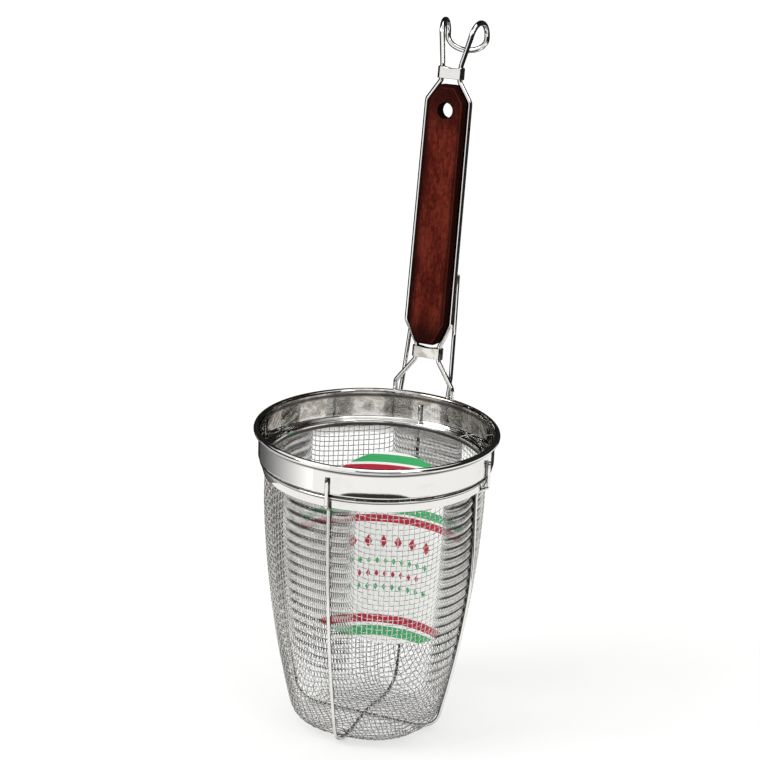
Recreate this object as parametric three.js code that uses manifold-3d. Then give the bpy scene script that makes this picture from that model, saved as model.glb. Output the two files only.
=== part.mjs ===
// Noodle strainer: a woven wire cup in a rolled steel rim, on a bent wire handle with a wooden grip.
// Millimetres, +Z up. The origin lies on the table under the cup's axis, and the handle is towards +Y.

import * as THREE from 'three';
import { mergeVertices } from 'three/addons/utils/BufferGeometryUtils.js';
import Module from 'manifold-3d';

// Fits and stock
const FIT_GAP = 0.3;
const SHEET = 0.7;
const HANDLE_WIRE = 2.9;
const BRACE_WIRE = 2.5;
const SUPPORT_WIRE = 2.0;

// Rim band: the lip is a tube curled outwards over a core wire
const RIM_RADIUS = 70;
const LIP_HEIGHT = 179.8;
const LIP_TUBE_RADIUS = 1.8;
const LIP_CURL = THREE.MathUtils.degToRad( 270 );
const WALL_DROP = 16.4;
const SKIRT_HEIGHT = 2.8;

// Clamp ring: a tapered sleeve that steps in from the wall and grips the mesh
const RING_STEP = 1.1;
const RING_HEIGHT = 8;

// Woven cup: a floor pressed up over the crossed wires, a rounded heel and a wall that swells to its mouth
const MESH_INSET = 3.9;
const MESH_THICKNESS = 0.9;
const FLOOR_RADIUS = 28;
const HEEL_RADIUS = 45;
const HEEL_HEIGHT = 10;
const SWELL_HEIGHT = 83;
const DENT_MARGIN = 1.7;

// Grid of openings in place of the weave's own: the cloth is open in a zone of each quarter, and all round low down
const GRID_ROWS = 8;
const GRID_TOP = 0.92;
const ROW_BAR = 0.28;
const FLOOR_OPENING = [ 0.45, 0.9 ];
const OPEN_ZONE = THREE.MathUtils.degToRad( 37.5 );
const OPEN_ZONE_HALF = THREE.MathUtils.degToRad( 22.5 );
const OPEN_ALL_ROUND = 40;

// Support wires under the cup
const OUTER_END_DROP = 6.8;
const INNER_END_DROP = 5.2;
const STEP_IN_RISE = 2;
const STEP_IN_DROP = 1.5;
const STEP_IN_LENGTH = 4;
const HUMP_TOP = 2.6;
const HUMP_FLAT = 6;
const SUPPORT_BEND = 2;

// Handle: where its side wires straighten, how far it leans, and its lengths along that lean
const LEG_SPREAD = 18;
const LEG_BEND_RISE = 6.5;
const FOOT_JOGGLE = 6;
const FOOT_RISE = 1.2;
const HANDLE_BEND = 4.5;
const HANDLE_SETBACK = 3.7;
const HANDLE_RISE = 44.2;
const HANDLE_LEAN = THREE.MathUtils.degToRad( 6.95 );
const SIDE_SPREAD = 13.9;
const SIDE_SPREAD_TOP = 13.2;
const SIDE_LENGTH = 130.5;

// Ferrules
const FERRULE_HEIGHT = 6.8;
const FERRULE_OVERRUN = 1.2;
const LOWER_SPREAD = 7.2;
const LOWER_TAPER = 15;
const LOWER_SETBACK = 2.6;
const UPPER_SPREAD = 5.7;
const UPPER_TAPER = 12.6;

// Wooden grip
const GRIP_INSET = 1.3;
const GRIP_THICKNESS = 10;
const GRIP_BEVEL = 2.6;
const GRIP_LOWER_GAP = 2.2;
const GRIP_UPPER_GAP = 3.2;
const HANG_HOLE = 9;
const HANG_HOLE_DROP = 14.9;

// Double hook
const HOOK_RISE = 16.8;
const HOOK_LEAN = 3.3;
const HOOK_NECK_SPREAD = 8.7;
const HOOK_SPREAD = 12.1;
const HOOK_BEND_RADIUS = 9.1;
const SADDLE_DEPTH = 7.8;

// Brace wires behind the handle
const BRACE_HEEL_RISE = 11;
const BRACE_HEEL_SETBACK = 5;
const BRACE_KNEE_RISE = 37;
const BRACE_KNEE_SETBACK = 9.9;
const BRACE_BEND = 6;
const BRACE_TOP = 30;
const BRACE_SHIFT = 0.5;

// Loose card inside the cup
const CARD_WIDTH = 100;
const CARD_BOTTOM = 26;
const CARD_TOP = 144;
const CARD_CORNER = 48;
const CARD_THICKNESS = 0.5;
const CARD_TURN = THREE.MathUtils.degToRad( 11.5 );

// Fineness of the facets, the share of a straight that one bend may take, and the weld of like points
const TURN_STEPS = 48;
const WIRE_SIDES = 8;
const BEND_STEPS = 4;
const HOOK_STEPS = 8;
const SADDLE_STEPS = 12;
const CURL_STEPS = 6;
const HEEL_STEPS = 4;
const WALL_STEPS = 9;
const FERRULE_STEPS = 6;
const BEVEL_STEPS = 2;
const HOLE_STEPS = 20;
const CARD_STEPS = 5;
const BEND_SHARE = 0.45;
const WELD_DISTANCE = 1e-4;

// Sizes that follow from the driving dimensions
const handleRadius = HANDLE_WIRE / 2;
const braceRadius = BRACE_WIRE / 2;
const supportRadius = SUPPORT_WIRE / 2;
const supportClearance = supportRadius + FIT_GAP;
const lipRadius = RIM_RADIUS - LIP_TUBE_RADIUS;
const wallInner = lipRadius - LIP_TUBE_RADIUS;
const wallOuter = wallInner + SHEET;
const ledgeUnder = LIP_HEIGHT - WALL_DROP;
const mouthRadius = wallOuter - MESH_INSET;
const seatHeight = ledgeUnder - FIT_GAP;
const skirtOuter = mouthRadius - MESH_THICKNESS - FIT_GAP;
const ringBottom = seatHeight - RING_HEIGHT;
const floorHeight = SUPPORT_WIRE + FIT_GAP;
const dentRise = SUPPORT_WIRE + FIT_GAP;
const humpFoot = FLOOR_RADIUS - HUMP_FLAT;
const lowerFerruleTop = - LOWER_TAPER;
const lowerFerruleBottom = lowerFerruleTop - FERRULE_HEIGHT;
const upperFerruleBottom = SIDE_LENGTH + UPPER_TAPER;
const upperFerruleTop = upperFerruleBottom + FERRULE_HEIGHT;

// Depth behind the axis of a point at a given radius and sideways place
const depthAt = ( radius, x ) => Math.sqrt( radius * radius - x * x );

const legDepth = depthAt( RIM_RADIUS + FIT_GAP + handleRadius, LEG_SPREAD );
const braceSpread = LEG_SPREAD - handleRadius - FIT_GAP - braceRadius;

const strainer = new THREE.Group();
const handle = new THREE.Group();
handle.position.set( 0, legDepth + HANDLE_SETBACK, LIP_HEIGHT + HANDLE_RISE );
handle.rotation.x = - HANDLE_LEAN;
strainer.add( handle );
strainer.updateMatrixWorld( true );

const steel = () => new THREE.MeshStandardMaterial( { color: 0xc8c8c4, roughness: 0.22, metalness: 1 } );
const mesh = () => new THREE.MeshStandardMaterial( { color: 0x9c9a93, roughness: 0.4, metalness: 1 } );
const wood = () => new THREE.MeshStandardMaterial( { color: 0x5a2019, roughness: 0.35, metalness: 0 } );
const paper = () => new THREE.MeshStandardMaterial( { color: 0xf1f0ea, roughness: 0.8, metalness: 0 } );

function addPiece( parent, name, geometry, material ) {

	const piece = new THREE.Mesh( geometry, material );
	piece.name = name;
	parent.add( piece );
	return piece;

}

// Solid joins and cuts

const wasm = await Module();
wasm.setup();

function toSolid( geometry ) {

	const bare = geometry.clone();
	bare.deleteAttribute( 'normal' );
	bare.deleteAttribute( 'uv' );
	const merged = mergeVertices( bare, WELD_DISTANCE );
	return new wasm.Manifold( new wasm.Mesh( {
		numProp: 3,
		vertProperties: new Float32Array( merged.attributes.position.array ),
		triVerts: new Uint32Array( merged.index.array ),
	} ) );

}

function toGeometry( solid ) {

	const result = solid.getMesh();
	const geometry = new THREE.BufferGeometry();
	geometry.setAttribute( 'position', new THREE.BufferAttribute( result.vertProperties, 3 ) );
	geometry.setIndex( new THREE.BufferAttribute( result.triVerts, 1 ) );
	return geometry;

}

function cut( geometry, tools ) {

	const solid = tools.reduce( ( body, tool ) => body.subtract( toSolid( tool ) ), toSolid( geometry ) );
	return toGeometry( solid );

}

// Turned pieces: profile points are radius and height, listed anticlockwise

const profilePoint = ( radius, height ) => new THREE.Vector2( radius, height );

function turned( profile ) {

	return new THREE.LatheGeometry( profile, TURN_STEPS ).rotateX( Math.PI / 2 );

}

const closed = ( profile ) => [ ...profile, profile[ 0 ].clone() ];

// Moves each profile point along its outward normal; a point on the axis stays on it
function offsetProfile( profile, distance ) {

	return profile.map( ( point, i ) => {

		const before = profile[ Math.max( i - 1, 0 ) ];
		const after = profile[ Math.min( i + 1, profile.length - 1 ) ];
		const along = after.clone().sub( before ).normalize();
		const moved = point.clone().add( profilePoint( along.y, - along.x ).multiplyScalar( distance ) );
		if ( point.x === 0 ) moved.x = 0;
		return moved;

	} );

}

// Bent wires: a wire is a list of stations, close together in its bends and far apart on its straights

class WirePath extends THREE.Curve {

	constructor( stations ) {

		super();
		this.stations = stations;

	}

	getPoint( t, target = new THREE.Vector3() ) {

		const place = t * ( this.stations.length - 1 );
		const index = Math.min( Math.floor( place ), this.stations.length - 2 );
		return target.lerpVectors( this.stations[ index ], this.stations[ index + 1 ], place - index );

	}

	getPointAt( u, target ) {

		return this.getPoint( u, target );

	}

	getTangentAt( u, target = new THREE.Vector3() ) {

		const last = this.stations.length - 1;
		const index = Math.round( u * last );
		const here = this.stations[ index ];
		const arriving = here.clone().sub( this.stations[ Math.max( index - 1, 0 ) ] ).normalize();
		const leaving = this.stations[ Math.min( index + 1, last ) ].clone().sub( here ).normalize();
		return target.addVectors( arriving, leaving ).normalize();

	}

}

// Rounds every inner corner of a run of points
function bent( corners, radius ) {

	const stations = [ corners[ 0 ] ];
	for ( let i = 1; i < corners.length - 1; i ++ ) {

		const back = corners[ i - 1 ].clone().sub( corners[ i ] );
		const ahead = corners[ i + 1 ].clone().sub( corners[ i ] );
		const wanted = radius / Math.tan( back.angleTo( ahead ) / 2 );
		const reach = Math.min( wanted, BEND_SHARE * back.length(), BEND_SHARE * ahead.length() );
		const start = corners[ i ].clone().addScaledVector( back.normalize(), reach );
		const end = corners[ i ].clone().addScaledVector( ahead.normalize(), reach );
		const bend = new THREE.QuadraticBezierCurve3( start, corners[ i ], end );
		stations.push( ...bend.getPoints( BEND_STEPS ) );

	}

	stations.push( corners.at( - 1 ) );
	return stations;

}

// The section's flats lie at the wire's radius, so a wire that lies on the table rests on a flat
function wire( stations, radius ) {

	const corner = radius / Math.cos( Math.PI / WIRE_SIDES );
	const section = Array.from( { length: WIRE_SIDES }, ( _, i ) => {

		const angle = ( i + 0.5 ) * 2 * Math.PI / WIRE_SIDES;
		return new THREE.Vector2( corner * Math.cos( angle ), corner * Math.sin( angle ) );

	} );
	return new THREE.ExtrudeGeometry( new THREE.Shape( section ), {
		steps: stations.length - 1,
		extrudePath: new WirePath( stations ),
	} );

}

// Rim band, with the slot in its ledge where the rear support wire comes up

function curlArc( radius, from, to ) {

	return Array.from( { length: CURL_STEPS + 1 }, ( _, i ) => {

		const angle = THREE.MathUtils.lerp( from, to, i / CURL_STEPS );
		return profilePoint( lipRadius + radius * Math.cos( angle ), LIP_HEIGHT + radius * Math.sin( angle ) );

	} );

}

function rimBandProfile() {

	const curlEnd = Math.PI - LIP_CURL;
	const skirtBottom = ledgeUnder - SKIRT_HEIGHT;
	return [
		profilePoint( skirtOuter - SHEET, skirtBottom ),
		profilePoint( skirtOuter, skirtBottom ),
		profilePoint( skirtOuter, ledgeUnder ),
		profilePoint( wallOuter, ledgeUnder ),
		...curlArc( LIP_TUBE_RADIUS - SHEET, Math.PI, curlEnd ),
		...curlArc( LIP_TUBE_RADIUS, curlEnd, Math.PI ),
		profilePoint( wallInner, ledgeUnder + SHEET ),
		profilePoint( skirtOuter - SHEET, ledgeUnder + SHEET ),
	];

}

function rearSlot( outerDepth, bottom, top ) {

	const innerDepth = mouthRadius;
	const slot = new THREE.BoxGeometry( 2 * supportClearance, outerDepth - innerDepth, top - bottom );
	return slot.translate( 0, ( innerDepth + outerDepth ) / 2, ( bottom + top ) / 2 );

}

const ledgeSlot = rearSlot( wallInner + FIT_GAP, ledgeUnder - SHEET, ledgeUnder + 2 * SHEET );
addPiece( strainer, 'rim_band', cut( turned( closed( rimBandProfile() ) ), [ ledgeSlot ] ), steel() );

const coreRadius = LIP_TUBE_RADIUS - SHEET - FIT_GAP;
const coreRing = new THREE.TorusGeometry( lipRadius, coreRadius, WIRE_SIDES, TURN_STEPS );
addPiece( strainer, 'rim_core_wire', coreRing.translate( 0, 0, LIP_HEIGHT ), steel() );

// Clamp ring: its ends stand either side of the rear support wire

const ringFootOuter = mouthRadius + FIT_GAP + SHEET;
const ringHeadOuter = wallOuter - RING_STEP;
const ringProfile = [
	profilePoint( ringFootOuter - SHEET, ringBottom ),
	profilePoint( ringFootOuter, ringBottom ),
	profilePoint( ringHeadOuter, seatHeight ),
	profilePoint( ringHeadOuter - SHEET, seatHeight ),
];
const ringSplit = rearSlot( RIM_RADIUS, ringBottom - SHEET, ledgeUnder );
addPiece( strainer, 'clamp_ring', cut( turned( closed( ringProfile ) ), [ ringSplit ] ), steel() );

// Woven cup, as a closed shell with a grid of openings

function cupCurves() {

	const heelTop = floorHeight + HEEL_HEIGHT;
	const swell = floorHeight + SWELL_HEIGHT;
	const lean = ( mouthRadius - HEEL_RADIUS ) / ( swell - heelTop );
	const floorEnd = profilePoint( FLOOR_RADIUS, floorHeight );
	const heelCorner = profilePoint( HEEL_RADIUS - lean * HEEL_HEIGHT, floorHeight );
	const heelEnd = profilePoint( HEEL_RADIUS, heelTop );
	const swellPoint = profilePoint( mouthRadius, swell );
	const mouth = profilePoint( mouthRadius, seatHeight );
	return {
		heel: new THREE.QuadraticBezierCurve( floorEnd, heelCorner, heelEnd ),
		wall: new THREE.QuadraticBezierCurve( heelEnd, swellPoint, mouth ),
	};

}

const { heel, wall } = cupCurves();
const wallOutside = [ ...heel.getPoints( HEEL_STEPS ), ...wall.getPoints( WALL_STEPS ).slice( 1 ) ];

// The cup's outside as steps of its profile, from the middle of the floor: where each starts, and if it has openings
function cupSteps() {

	const step = ( start, open = false ) => ( { start, open } );
	const dentEdge = profilePoint( HUMP_TOP + DENT_MARGIN, floorHeight + dentRise );
	const floorEdge = profilePoint( humpFoot + DENT_MARGIN, floorHeight );
	const [ floorOpens, floorCloses ] = FLOOR_OPENING.map( ( share ) => dentEdge.clone().lerp( floorEdge, share ) );
	const heelSteps = heel.getPoints( HEEL_STEPS ).map( ( point, i ) => step( point, i > 0 && i < HEEL_STEPS - 1 ) );
	const onWall = ( row ) => wall.getPoint( GRID_TOP * row / GRID_ROWS );
	const wallSteps = Array.from( { length: GRID_ROWS }, ( _, row ) => [
		step( onWall( row + ROW_BAR / 2 ), true ),
		step( onWall( row + 1 - ROW_BAR / 2 ) ),
	] );
	return [
		step( dentEdge ),
		step( floorOpens, true ),
		step( floorCloses ),
		step( floorEdge ),
		...heelSteps,
		...wallSteps.flat(),
		step( wall.getPoint( 1 ) ),
	];

}

// Two turned skins with open cells: each closed cell has a face on both, and a wall towards each open neighbour
function openShell( outside, inside, turns, isOpen ) {

	const rows = outside.length;
	const columns = turns.length;
	const points = [ outside, inside ].flatMap( ( skin ) => turns.flatMap( ( turn ) => skin.flatMap( ( point ) => [
		point.x * Math.cos( turn ),
		point.x * Math.sin( turn ),
		point.y,
	] ) ) );
	const outer = ( column, row ) => ( column % columns ) * rows + row;
	const inner = ( column, row ) => columns * rows + outer( column, row );
	const isClosed = ( column, row ) => row >= 0 && row < rows - 1 && ! isOpen( column % columns, row );
	const faces = [];
	const quad = ( a, b, c, d ) => faces.push( a, b, c, a, c, d );
	const edge = ( from, to ) => quad( outer( ...from ), outer( ...to ), inner( ...to ), inner( ...from ) );
	for ( let column = 0; column < columns; column ++ ) {

		for ( let row = 0; row < rows - 1; row ++ ) {

			if ( ! isClosed( column, row ) ) continue;
			const corners = [ [ column, row ], [ column + 1, row ], [ column + 1, row + 1 ], [ column, row + 1 ] ];
			quad( ...corners.map( ( corner ) => outer( ...corner ) ) );
			quad( ...corners.map( ( corner ) => inner( ...corner ) ).reverse() );
			if ( ! isClosed( column, row - 1 ) ) edge( corners[ 1 ], corners[ 0 ] );
			if ( ! isClosed( column + 1, row ) ) edge( corners[ 2 ], corners[ 1 ] );
			if ( ! isClosed( column, row + 1 ) ) edge( corners[ 3 ], corners[ 2 ] );
			if ( ! isClosed( column + columns - 1, row ) ) edge( corners[ 0 ], corners[ 3 ] );

		}

	}

	const geometry = new THREE.BufferGeometry();
	geometry.setAttribute( 'position', new THREE.Float32BufferAttribute( points, 3 ) );
	geometry.setIndex( faces );
	return geometry;

}

// Every other column is a bar, and the support wires lie on bars
function wovenCup() {

	const steps = cupSteps();
	const outside = steps.map( ( step ) => step.start );
	const pitch = 2 * Math.PI / TURN_STEPS;
	const turns = Array.from( { length: TURN_STEPS }, ( _, column ) => ( column - 0.5 ) * pitch );
	const inZone = ( turn ) => Math.abs( turn % ( Math.PI / 2 ) - OPEN_ZONE ) < OPEN_ZONE_HALF;
	return openShell( outside, offsetProfile( outside, - MESH_THICKNESS ), turns, ( column, row ) => {

		const { start, open } = steps[ row ];
		return open && column % 2 === 1 && ( start.y < OPEN_ALL_ROUND || inZone( column * pitch ) );

	} );

}

addPiece( strainer, 'mesh_basket', wovenCup(), mesh() );

// Support wires: each half is drawn as reach from the axis and height, from its welded end to the floor

function outerEnd() {

	const wallRun = wallOuter + supportClearance;
	return [
		profilePoint( wallRun, LIP_HEIGHT - OUTER_END_DROP ),
		profilePoint( wallRun, ringBottom + STEP_IN_RISE ),
		profilePoint( mouthRadius + supportClearance, ringBottom - STEP_IN_DROP ),
	];

}

function innerEnd() {

	const wallRun = wallInner - supportClearance;
	return [
		profilePoint( wallRun, LIP_HEIGHT - INNER_END_DROP ),
		profilePoint( wallRun, ledgeUnder + SHEET + supportClearance ),
		profilePoint( mouthRadius + supportClearance, ringBottom ),
	];

}

function underCup() {

	const startHeight = ringBottom - STEP_IN_LENGTH;
	const run = offsetProfile( wallOutside, supportClearance ).filter( ( point ) => point.y < startHeight );
	run[ 0 ] = profilePoint( FLOOR_RADIUS, supportRadius );
	return run.reverse();

}

const upright = ( point ) => new THREE.Vector3( point.x, point.y );

// A U of wire in the upright plane of the given direction, with any hump on its floor run
function supportStations( direction, ends, hump ) {

	const place = ( point ) => direction.clone().multiplyScalar( point.x ).setZ( point.y );
	const turn = ( point ) => profilePoint( - point.x, point.y );
	const half = ( end ) => {

		const run = underCup();
		const corners = [ ...end, ...run.slice( 0, 2 ) ];
		return [ ...bent( corners.map( upright ), SUPPORT_BEND ), ...run.slice( 2 ) ];

	};

	const [ far, near ] = ends.map( half );
	return [ ...far, ...hump, ...near.map( turn ).reverse() ].map( place );

}

const humpHeight = 2 * SUPPORT_WIRE - supportRadius + FIT_GAP;
const humpCorners = [
	profilePoint( FLOOR_RADIUS, supportRadius ),
	profilePoint( humpFoot, supportRadius ),
	profilePoint( HUMP_TOP, humpHeight ),
	profilePoint( - HUMP_TOP, humpHeight ),
	profilePoint( - humpFoot, supportRadius ),
	profilePoint( - FLOOR_RADIUS, supportRadius ),
];
const hump = bent( humpCorners.map( upright ), SUPPORT_BEND ).slice( 1, - 1 );
const foreAft = supportStations( new THREE.Vector3( 0, 1, 0 ), [ innerEnd(), outerEnd() ], hump );
const cross = supportStations( new THREE.Vector3( 1, 0, 0 ), [ outerEnd(), outerEnd() ], [] );
addPiece( strainer, 'support_wire_fore_aft', wire( foreAft, supportRadius ), steel() );
addPiece( strainer, 'support_wire_cross', wire( cross, supportRadius ), steel() );

// Handle wire, in the handle's own frame: sideways, back and along

const local = ( x, back, along ) => new THREE.Vector3( x, back, along );
const fromTable = ( x, y, z ) => handle.worldToLocal( new THREE.Vector3( x, y, z ) );

// A welded foot: up the band's wall, then out past the lip
function foot( x, radius ) {

	const wallDepth = depthAt( wallOuter + FIT_GAP + radius, Math.abs( x ) );
	const lipDepth = depthAt( RIM_RADIUS + FIT_GAP + radius, Math.abs( x ) );
	return [
		fromTable( x, wallDepth, ledgeUnder + FOOT_RISE ),
		fromTable( x, wallDepth, LIP_HEIGHT - FOOT_JOGGLE ),
		fromTable( x, lipDepth, LIP_HEIGHT - LIP_TUBE_RADIUS ),
	];

}

// The run past the grip, between the bends at the two ferrules
function sideRun( side ) {

	return [
		local( side * LOWER_SPREAD, LOWER_SETBACK, lowerFerruleTop + FERRULE_OVERRUN ),
		local( side * SIDE_SPREAD, 0, 0 ),
		local( side * SIDE_SPREAD_TOP, 0, SIDE_LENGTH ),
		local( side * UPPER_SPREAD, 0, upperFerruleBottom - FERRULE_OVERRUN ),
	];

}

// One half of the hook: a half turn over the top, splaying as it goes
function hookTurn( side ) {

	return Array.from( { length: HOOK_STEPS + 1 }, ( _, i ) => {

		const angle = Math.PI * i / HOOK_STEPS;
		const spread = THREE.MathUtils.lerp( HOOK_NECK_SPREAD, HOOK_SPREAD, Math.sin( angle / 2 ) );
		const back = HOOK_LEAN + HOOK_BEND_RADIUS * ( 1 - Math.cos( angle ) );
		return local( side * spread, back, hookHeight + HOOK_BEND_RADIUS * Math.sin( angle ) );

	} );

}

function handleHalf( side ) {

	const corners = [
		...foot( side * LEG_SPREAD, handleRadius ),
		fromTable( side * LEG_SPREAD, legDepth, LIP_HEIGHT + LEG_BEND_RISE ),
		local( side * LOWER_SPREAD, LOWER_SETBACK, lowerFerruleBottom - FERRULE_OVERRUN ),
		...sideRun( side ),
		local( side * UPPER_SPREAD, 0, upperFerruleTop + FERRULE_OVERRUN ),
		local( side * HOOK_NECK_SPREAD, HOOK_LEAN, hookHeight ),
	];
	return [ ...bent( corners, HANDLE_BEND ), ...hookTurn( side ).slice( 1 ) ];

}

function saddle() {

	const back = HOOK_LEAN + 2 * HOOK_BEND_RADIUS;
	return Array.from( { length: SADDLE_STEPS - 1 }, ( _, i ) => {

		const angle = Math.PI * ( i + 1 ) / SADDLE_STEPS;
		return local( HOOK_SPREAD * Math.cos( angle ), back, hookHeight - SADDLE_DEPTH * Math.sin( angle ) );

	} );

}

const hookHeight = upperFerruleTop + HOOK_RISE;
const handleStations = [ ...handleHalf( 1 ), ...saddle(), ...handleHalf( - 1 ).reverse() ];
addPiece( handle, 'handle_wire', wire( handleStations, handleRadius ), steel() );

// Brace wires: from the band out behind the legs, then up to the backs of the side wires

function braceStations( side ) {

	const x = side * braceSpread;
	const topBack = handleRadius + FIT_GAP + braceRadius;
	const corners = [
		...foot( x, braceRadius ),
		fromTable( x, legDepth + BRACE_HEEL_SETBACK, LIP_HEIGHT + BRACE_HEEL_RISE ),
		fromTable( side * SIDE_SPREAD, legDepth + BRACE_KNEE_SETBACK, LIP_HEIGHT + BRACE_KNEE_RISE ),
		local( side * ( SIDE_SPREAD + BRACE_SHIFT ), topBack, BRACE_TOP ),
	];
	return bent( corners, BRACE_BEND );

}

addPiece( handle, 'brace_wire_left', wire( braceStations( - 1 ), braceRadius ), steel() );
addPiece( handle, 'brace_wire_right', wire( braceStations( 1 ), braceRadius ), steel() );

// Ferrules: flat sleeves with round ends, round the two side wires

function roundEnded( spread, radius, outline ) {

	outline.absarc( spread, 0, radius, - Math.PI / 2, Math.PI / 2, false );
	outline.absarc( - spread, 0, radius, Math.PI / 2, 3 * Math.PI / 2, false );
	return outline;

}

function ferrule( spread ) {

	const bore = handleRadius + FIT_GAP;
	const sleeve = roundEnded( spread, bore + SHEET, new THREE.Shape() );
	sleeve.holes.push( roundEnded( spread, bore, new THREE.Path() ) );
	return new THREE.ExtrudeGeometry( sleeve, {
		depth: FERRULE_HEIGHT,
		bevelEnabled: false,
		curveSegments: FERRULE_STEPS,
	} );

}

const lowerFerrule = addPiece( handle, 'lower_ferrule', ferrule( LOWER_SPREAD ), steel() );
lowerFerrule.position.set( 0, LOWER_SETBACK, lowerFerruleBottom );
const upperFerrule = addPiece( handle, 'upper_ferrule', ferrule( UPPER_SPREAD ), steel() );
upperFerrule.position.set( 0, 0, upperFerruleBottom );

// Wooden grip: chamfered ends that keep level with the wires, side grooves, and a hang hole

function gripTaper( sideSpread, ferruleSpread, taper, gap ) {

	const slope = ( sideSpread - ferruleSpread ) / ( taper - FERRULE_OVERRUN );
	const slant = Math.hypot( 1, slope );
	const length = taper - gap;
	return {
		start: GRIP_INSET * ( 1 - slant ) / slope,
		length,
		sideWidth: sideSpread - GRIP_INSET,
		endWidth: sideSpread - GRIP_INSET * slant - slope * length,
	};

}

function gripBlank( lower, upper ) {

	const right = [
		new THREE.Vector2( lower.endWidth, - lower.length ),
		new THREE.Vector2( lower.sideWidth, - lower.start ),
		new THREE.Vector2( upper.sideWidth, SIDE_LENGTH + upper.start ),
		new THREE.Vector2( upper.endWidth, SIDE_LENGTH + upper.length ),
	];
	const left = right.map( ( point ) => new THREE.Vector2( - point.x, point.y ) ).reverse();
	const depth = GRIP_THICKNESS - 2 * GRIP_BEVEL;
	const blank = new THREE.ExtrudeGeometry( new THREE.Shape( [ ...right, ...left ] ), {
		depth,
		bevelThickness: GRIP_BEVEL,
		bevelSize: GRIP_BEVEL,
		bevelOffset: - GRIP_BEVEL,
		bevelSegments: BEVEL_STEPS,
	} );
	return blank.rotateX( Math.PI / 2 ).translate( 0, depth / 2, 0 );

}

const lowerEnd = gripTaper( SIDE_SPREAD, LOWER_SPREAD, LOWER_TAPER, GRIP_LOWER_GAP );
const upperEnd = gripTaper( SIDE_SPREAD_TOP, UPPER_SPREAD, UPPER_TAPER, GRIP_UPPER_GAP );
const holeHeight = SIDE_LENGTH + upperEnd.length - HANG_HOLE_DROP;
const hangHole = new THREE.CylinderGeometry( HANG_HOLE / 2, HANG_HOLE / 2, 2 * GRIP_THICKNESS, HOLE_STEPS );
const groove = ( side ) => wire( bent( sideRun( side ), HANDLE_BEND ), handleRadius + FIT_GAP );
const gripCuts = [ groove( - 1 ), groove( 1 ), hangHole.translate( 0, 0, holeHeight ) ];
addPiece( handle, 'wood_grip', cut( gripBlank( lowerEnd, upperEnd ), gripCuts ), wood() );

// Loose card: a rounded panel cut from a skin that follows the inside of the cup

function cardPanel() {

	const side = CARD_WIDTH / 2 - CARD_CORNER;
	const low = CARD_BOTTOM + CARD_CORNER;
	const high = CARD_TOP - CARD_CORNER;
	const panel = new THREE.Shape();
	panel.absarc( side, low, CARD_CORNER, - Math.PI / 2, 0, false );
	panel.absarc( side, high, CARD_CORNER, 0, Math.PI / 2, false );
	panel.absarc( - side, high, CARD_CORNER, Math.PI / 2, Math.PI, false );
	panel.absarc( - side, low, CARD_CORNER, Math.PI, 3 * Math.PI / 2, false );
	const slab = new THREE.ExtrudeGeometry( panel, {
		depth: RIM_RADIUS,
		bevelEnabled: false,
		curveSegments: CARD_STEPS,
	} );
	return slab.rotateX( Math.PI / 2 ).translate( 0, RIM_RADIUS, 0 );

}

const cardBack = offsetProfile( wallOutside, - MESH_THICKNESS - FIT_GAP );
const cardFront = offsetProfile( wallOutside, - MESH_THICKNESS - FIT_GAP - CARD_THICKNESS ).reverse();
const cardSkin = turned( closed( [ ...cardBack, ...cardFront ] ) );
const card = toGeometry( toSolid( cardSkin ).intersect( toSolid( cardPanel() ) ) );
addPiece( strainer, 'insert_card', card, paper() ).rotation.z = CARD_TURN;

export default strainer;
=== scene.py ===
"""Looks of a noodle strainer: a woven wire cup in a rolled steel rim, on a bent wire handle.

The handle has a wooden grip and a double hook, and a loose card stands in the cup.
"""

import math

import bmesh
import bpy
import numpy as np
from bpy.props import FloatProperty, FloatVectorProperty, PointerProperty
from bpy.types import Operator, Panel, PropertyGroup
from mathutils import Matrix, Vector


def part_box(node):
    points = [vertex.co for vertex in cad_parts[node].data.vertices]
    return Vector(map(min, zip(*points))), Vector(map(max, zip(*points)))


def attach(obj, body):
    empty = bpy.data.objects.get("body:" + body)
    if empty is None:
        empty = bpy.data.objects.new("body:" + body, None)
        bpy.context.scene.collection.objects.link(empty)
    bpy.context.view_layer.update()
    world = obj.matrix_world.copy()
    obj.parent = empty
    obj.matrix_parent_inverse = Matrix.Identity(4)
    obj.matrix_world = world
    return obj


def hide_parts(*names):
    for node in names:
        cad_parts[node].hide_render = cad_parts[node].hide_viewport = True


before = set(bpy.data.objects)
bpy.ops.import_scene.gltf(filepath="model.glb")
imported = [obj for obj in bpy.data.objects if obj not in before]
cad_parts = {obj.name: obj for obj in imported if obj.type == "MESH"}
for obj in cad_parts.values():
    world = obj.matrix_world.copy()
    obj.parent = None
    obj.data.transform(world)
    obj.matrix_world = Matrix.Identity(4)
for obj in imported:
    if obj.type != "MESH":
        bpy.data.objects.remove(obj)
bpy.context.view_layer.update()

bl_info = {
    "name": "Noodle strainer looks",
    "version": (1, 0, 0),
    "blender": (4, 5, 0),
    "location": "View3D > Sidebar > Strainer",
    "description": "Builds the woven cup, rim, wires, grip and card around the packed frame",
    "category": "Object",
}

MM = 0.001
BODY = "root"
RIM_LOW, RIM_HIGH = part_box("rim_band")
RING_LOW, RING_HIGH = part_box("clamp_ring")
CLOTH_LOW, CLOTH_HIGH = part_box("mesh_basket")
GRIP_LOW, GRIP_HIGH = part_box("wood_grip")
FULL_TURN = 2 * math.pi


# Settings that a user would change


def length(label, millimetres, words):
    return FloatProperty(name=label, description=words, default=millimetres * MM, unit="LENGTH", precision=5)


def angle(label, degrees, words):
    return FloatProperty(name=label, description=words, default=math.radians(degrees), subtype="ANGLE")


def number(label, value, words):
    return FloatProperty(name=label, description=words, default=value, subtype="FACTOR")


def power(label, watts, words):
    return FloatProperty(name=label, description=words, default=watts, unit="POWER")


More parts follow.
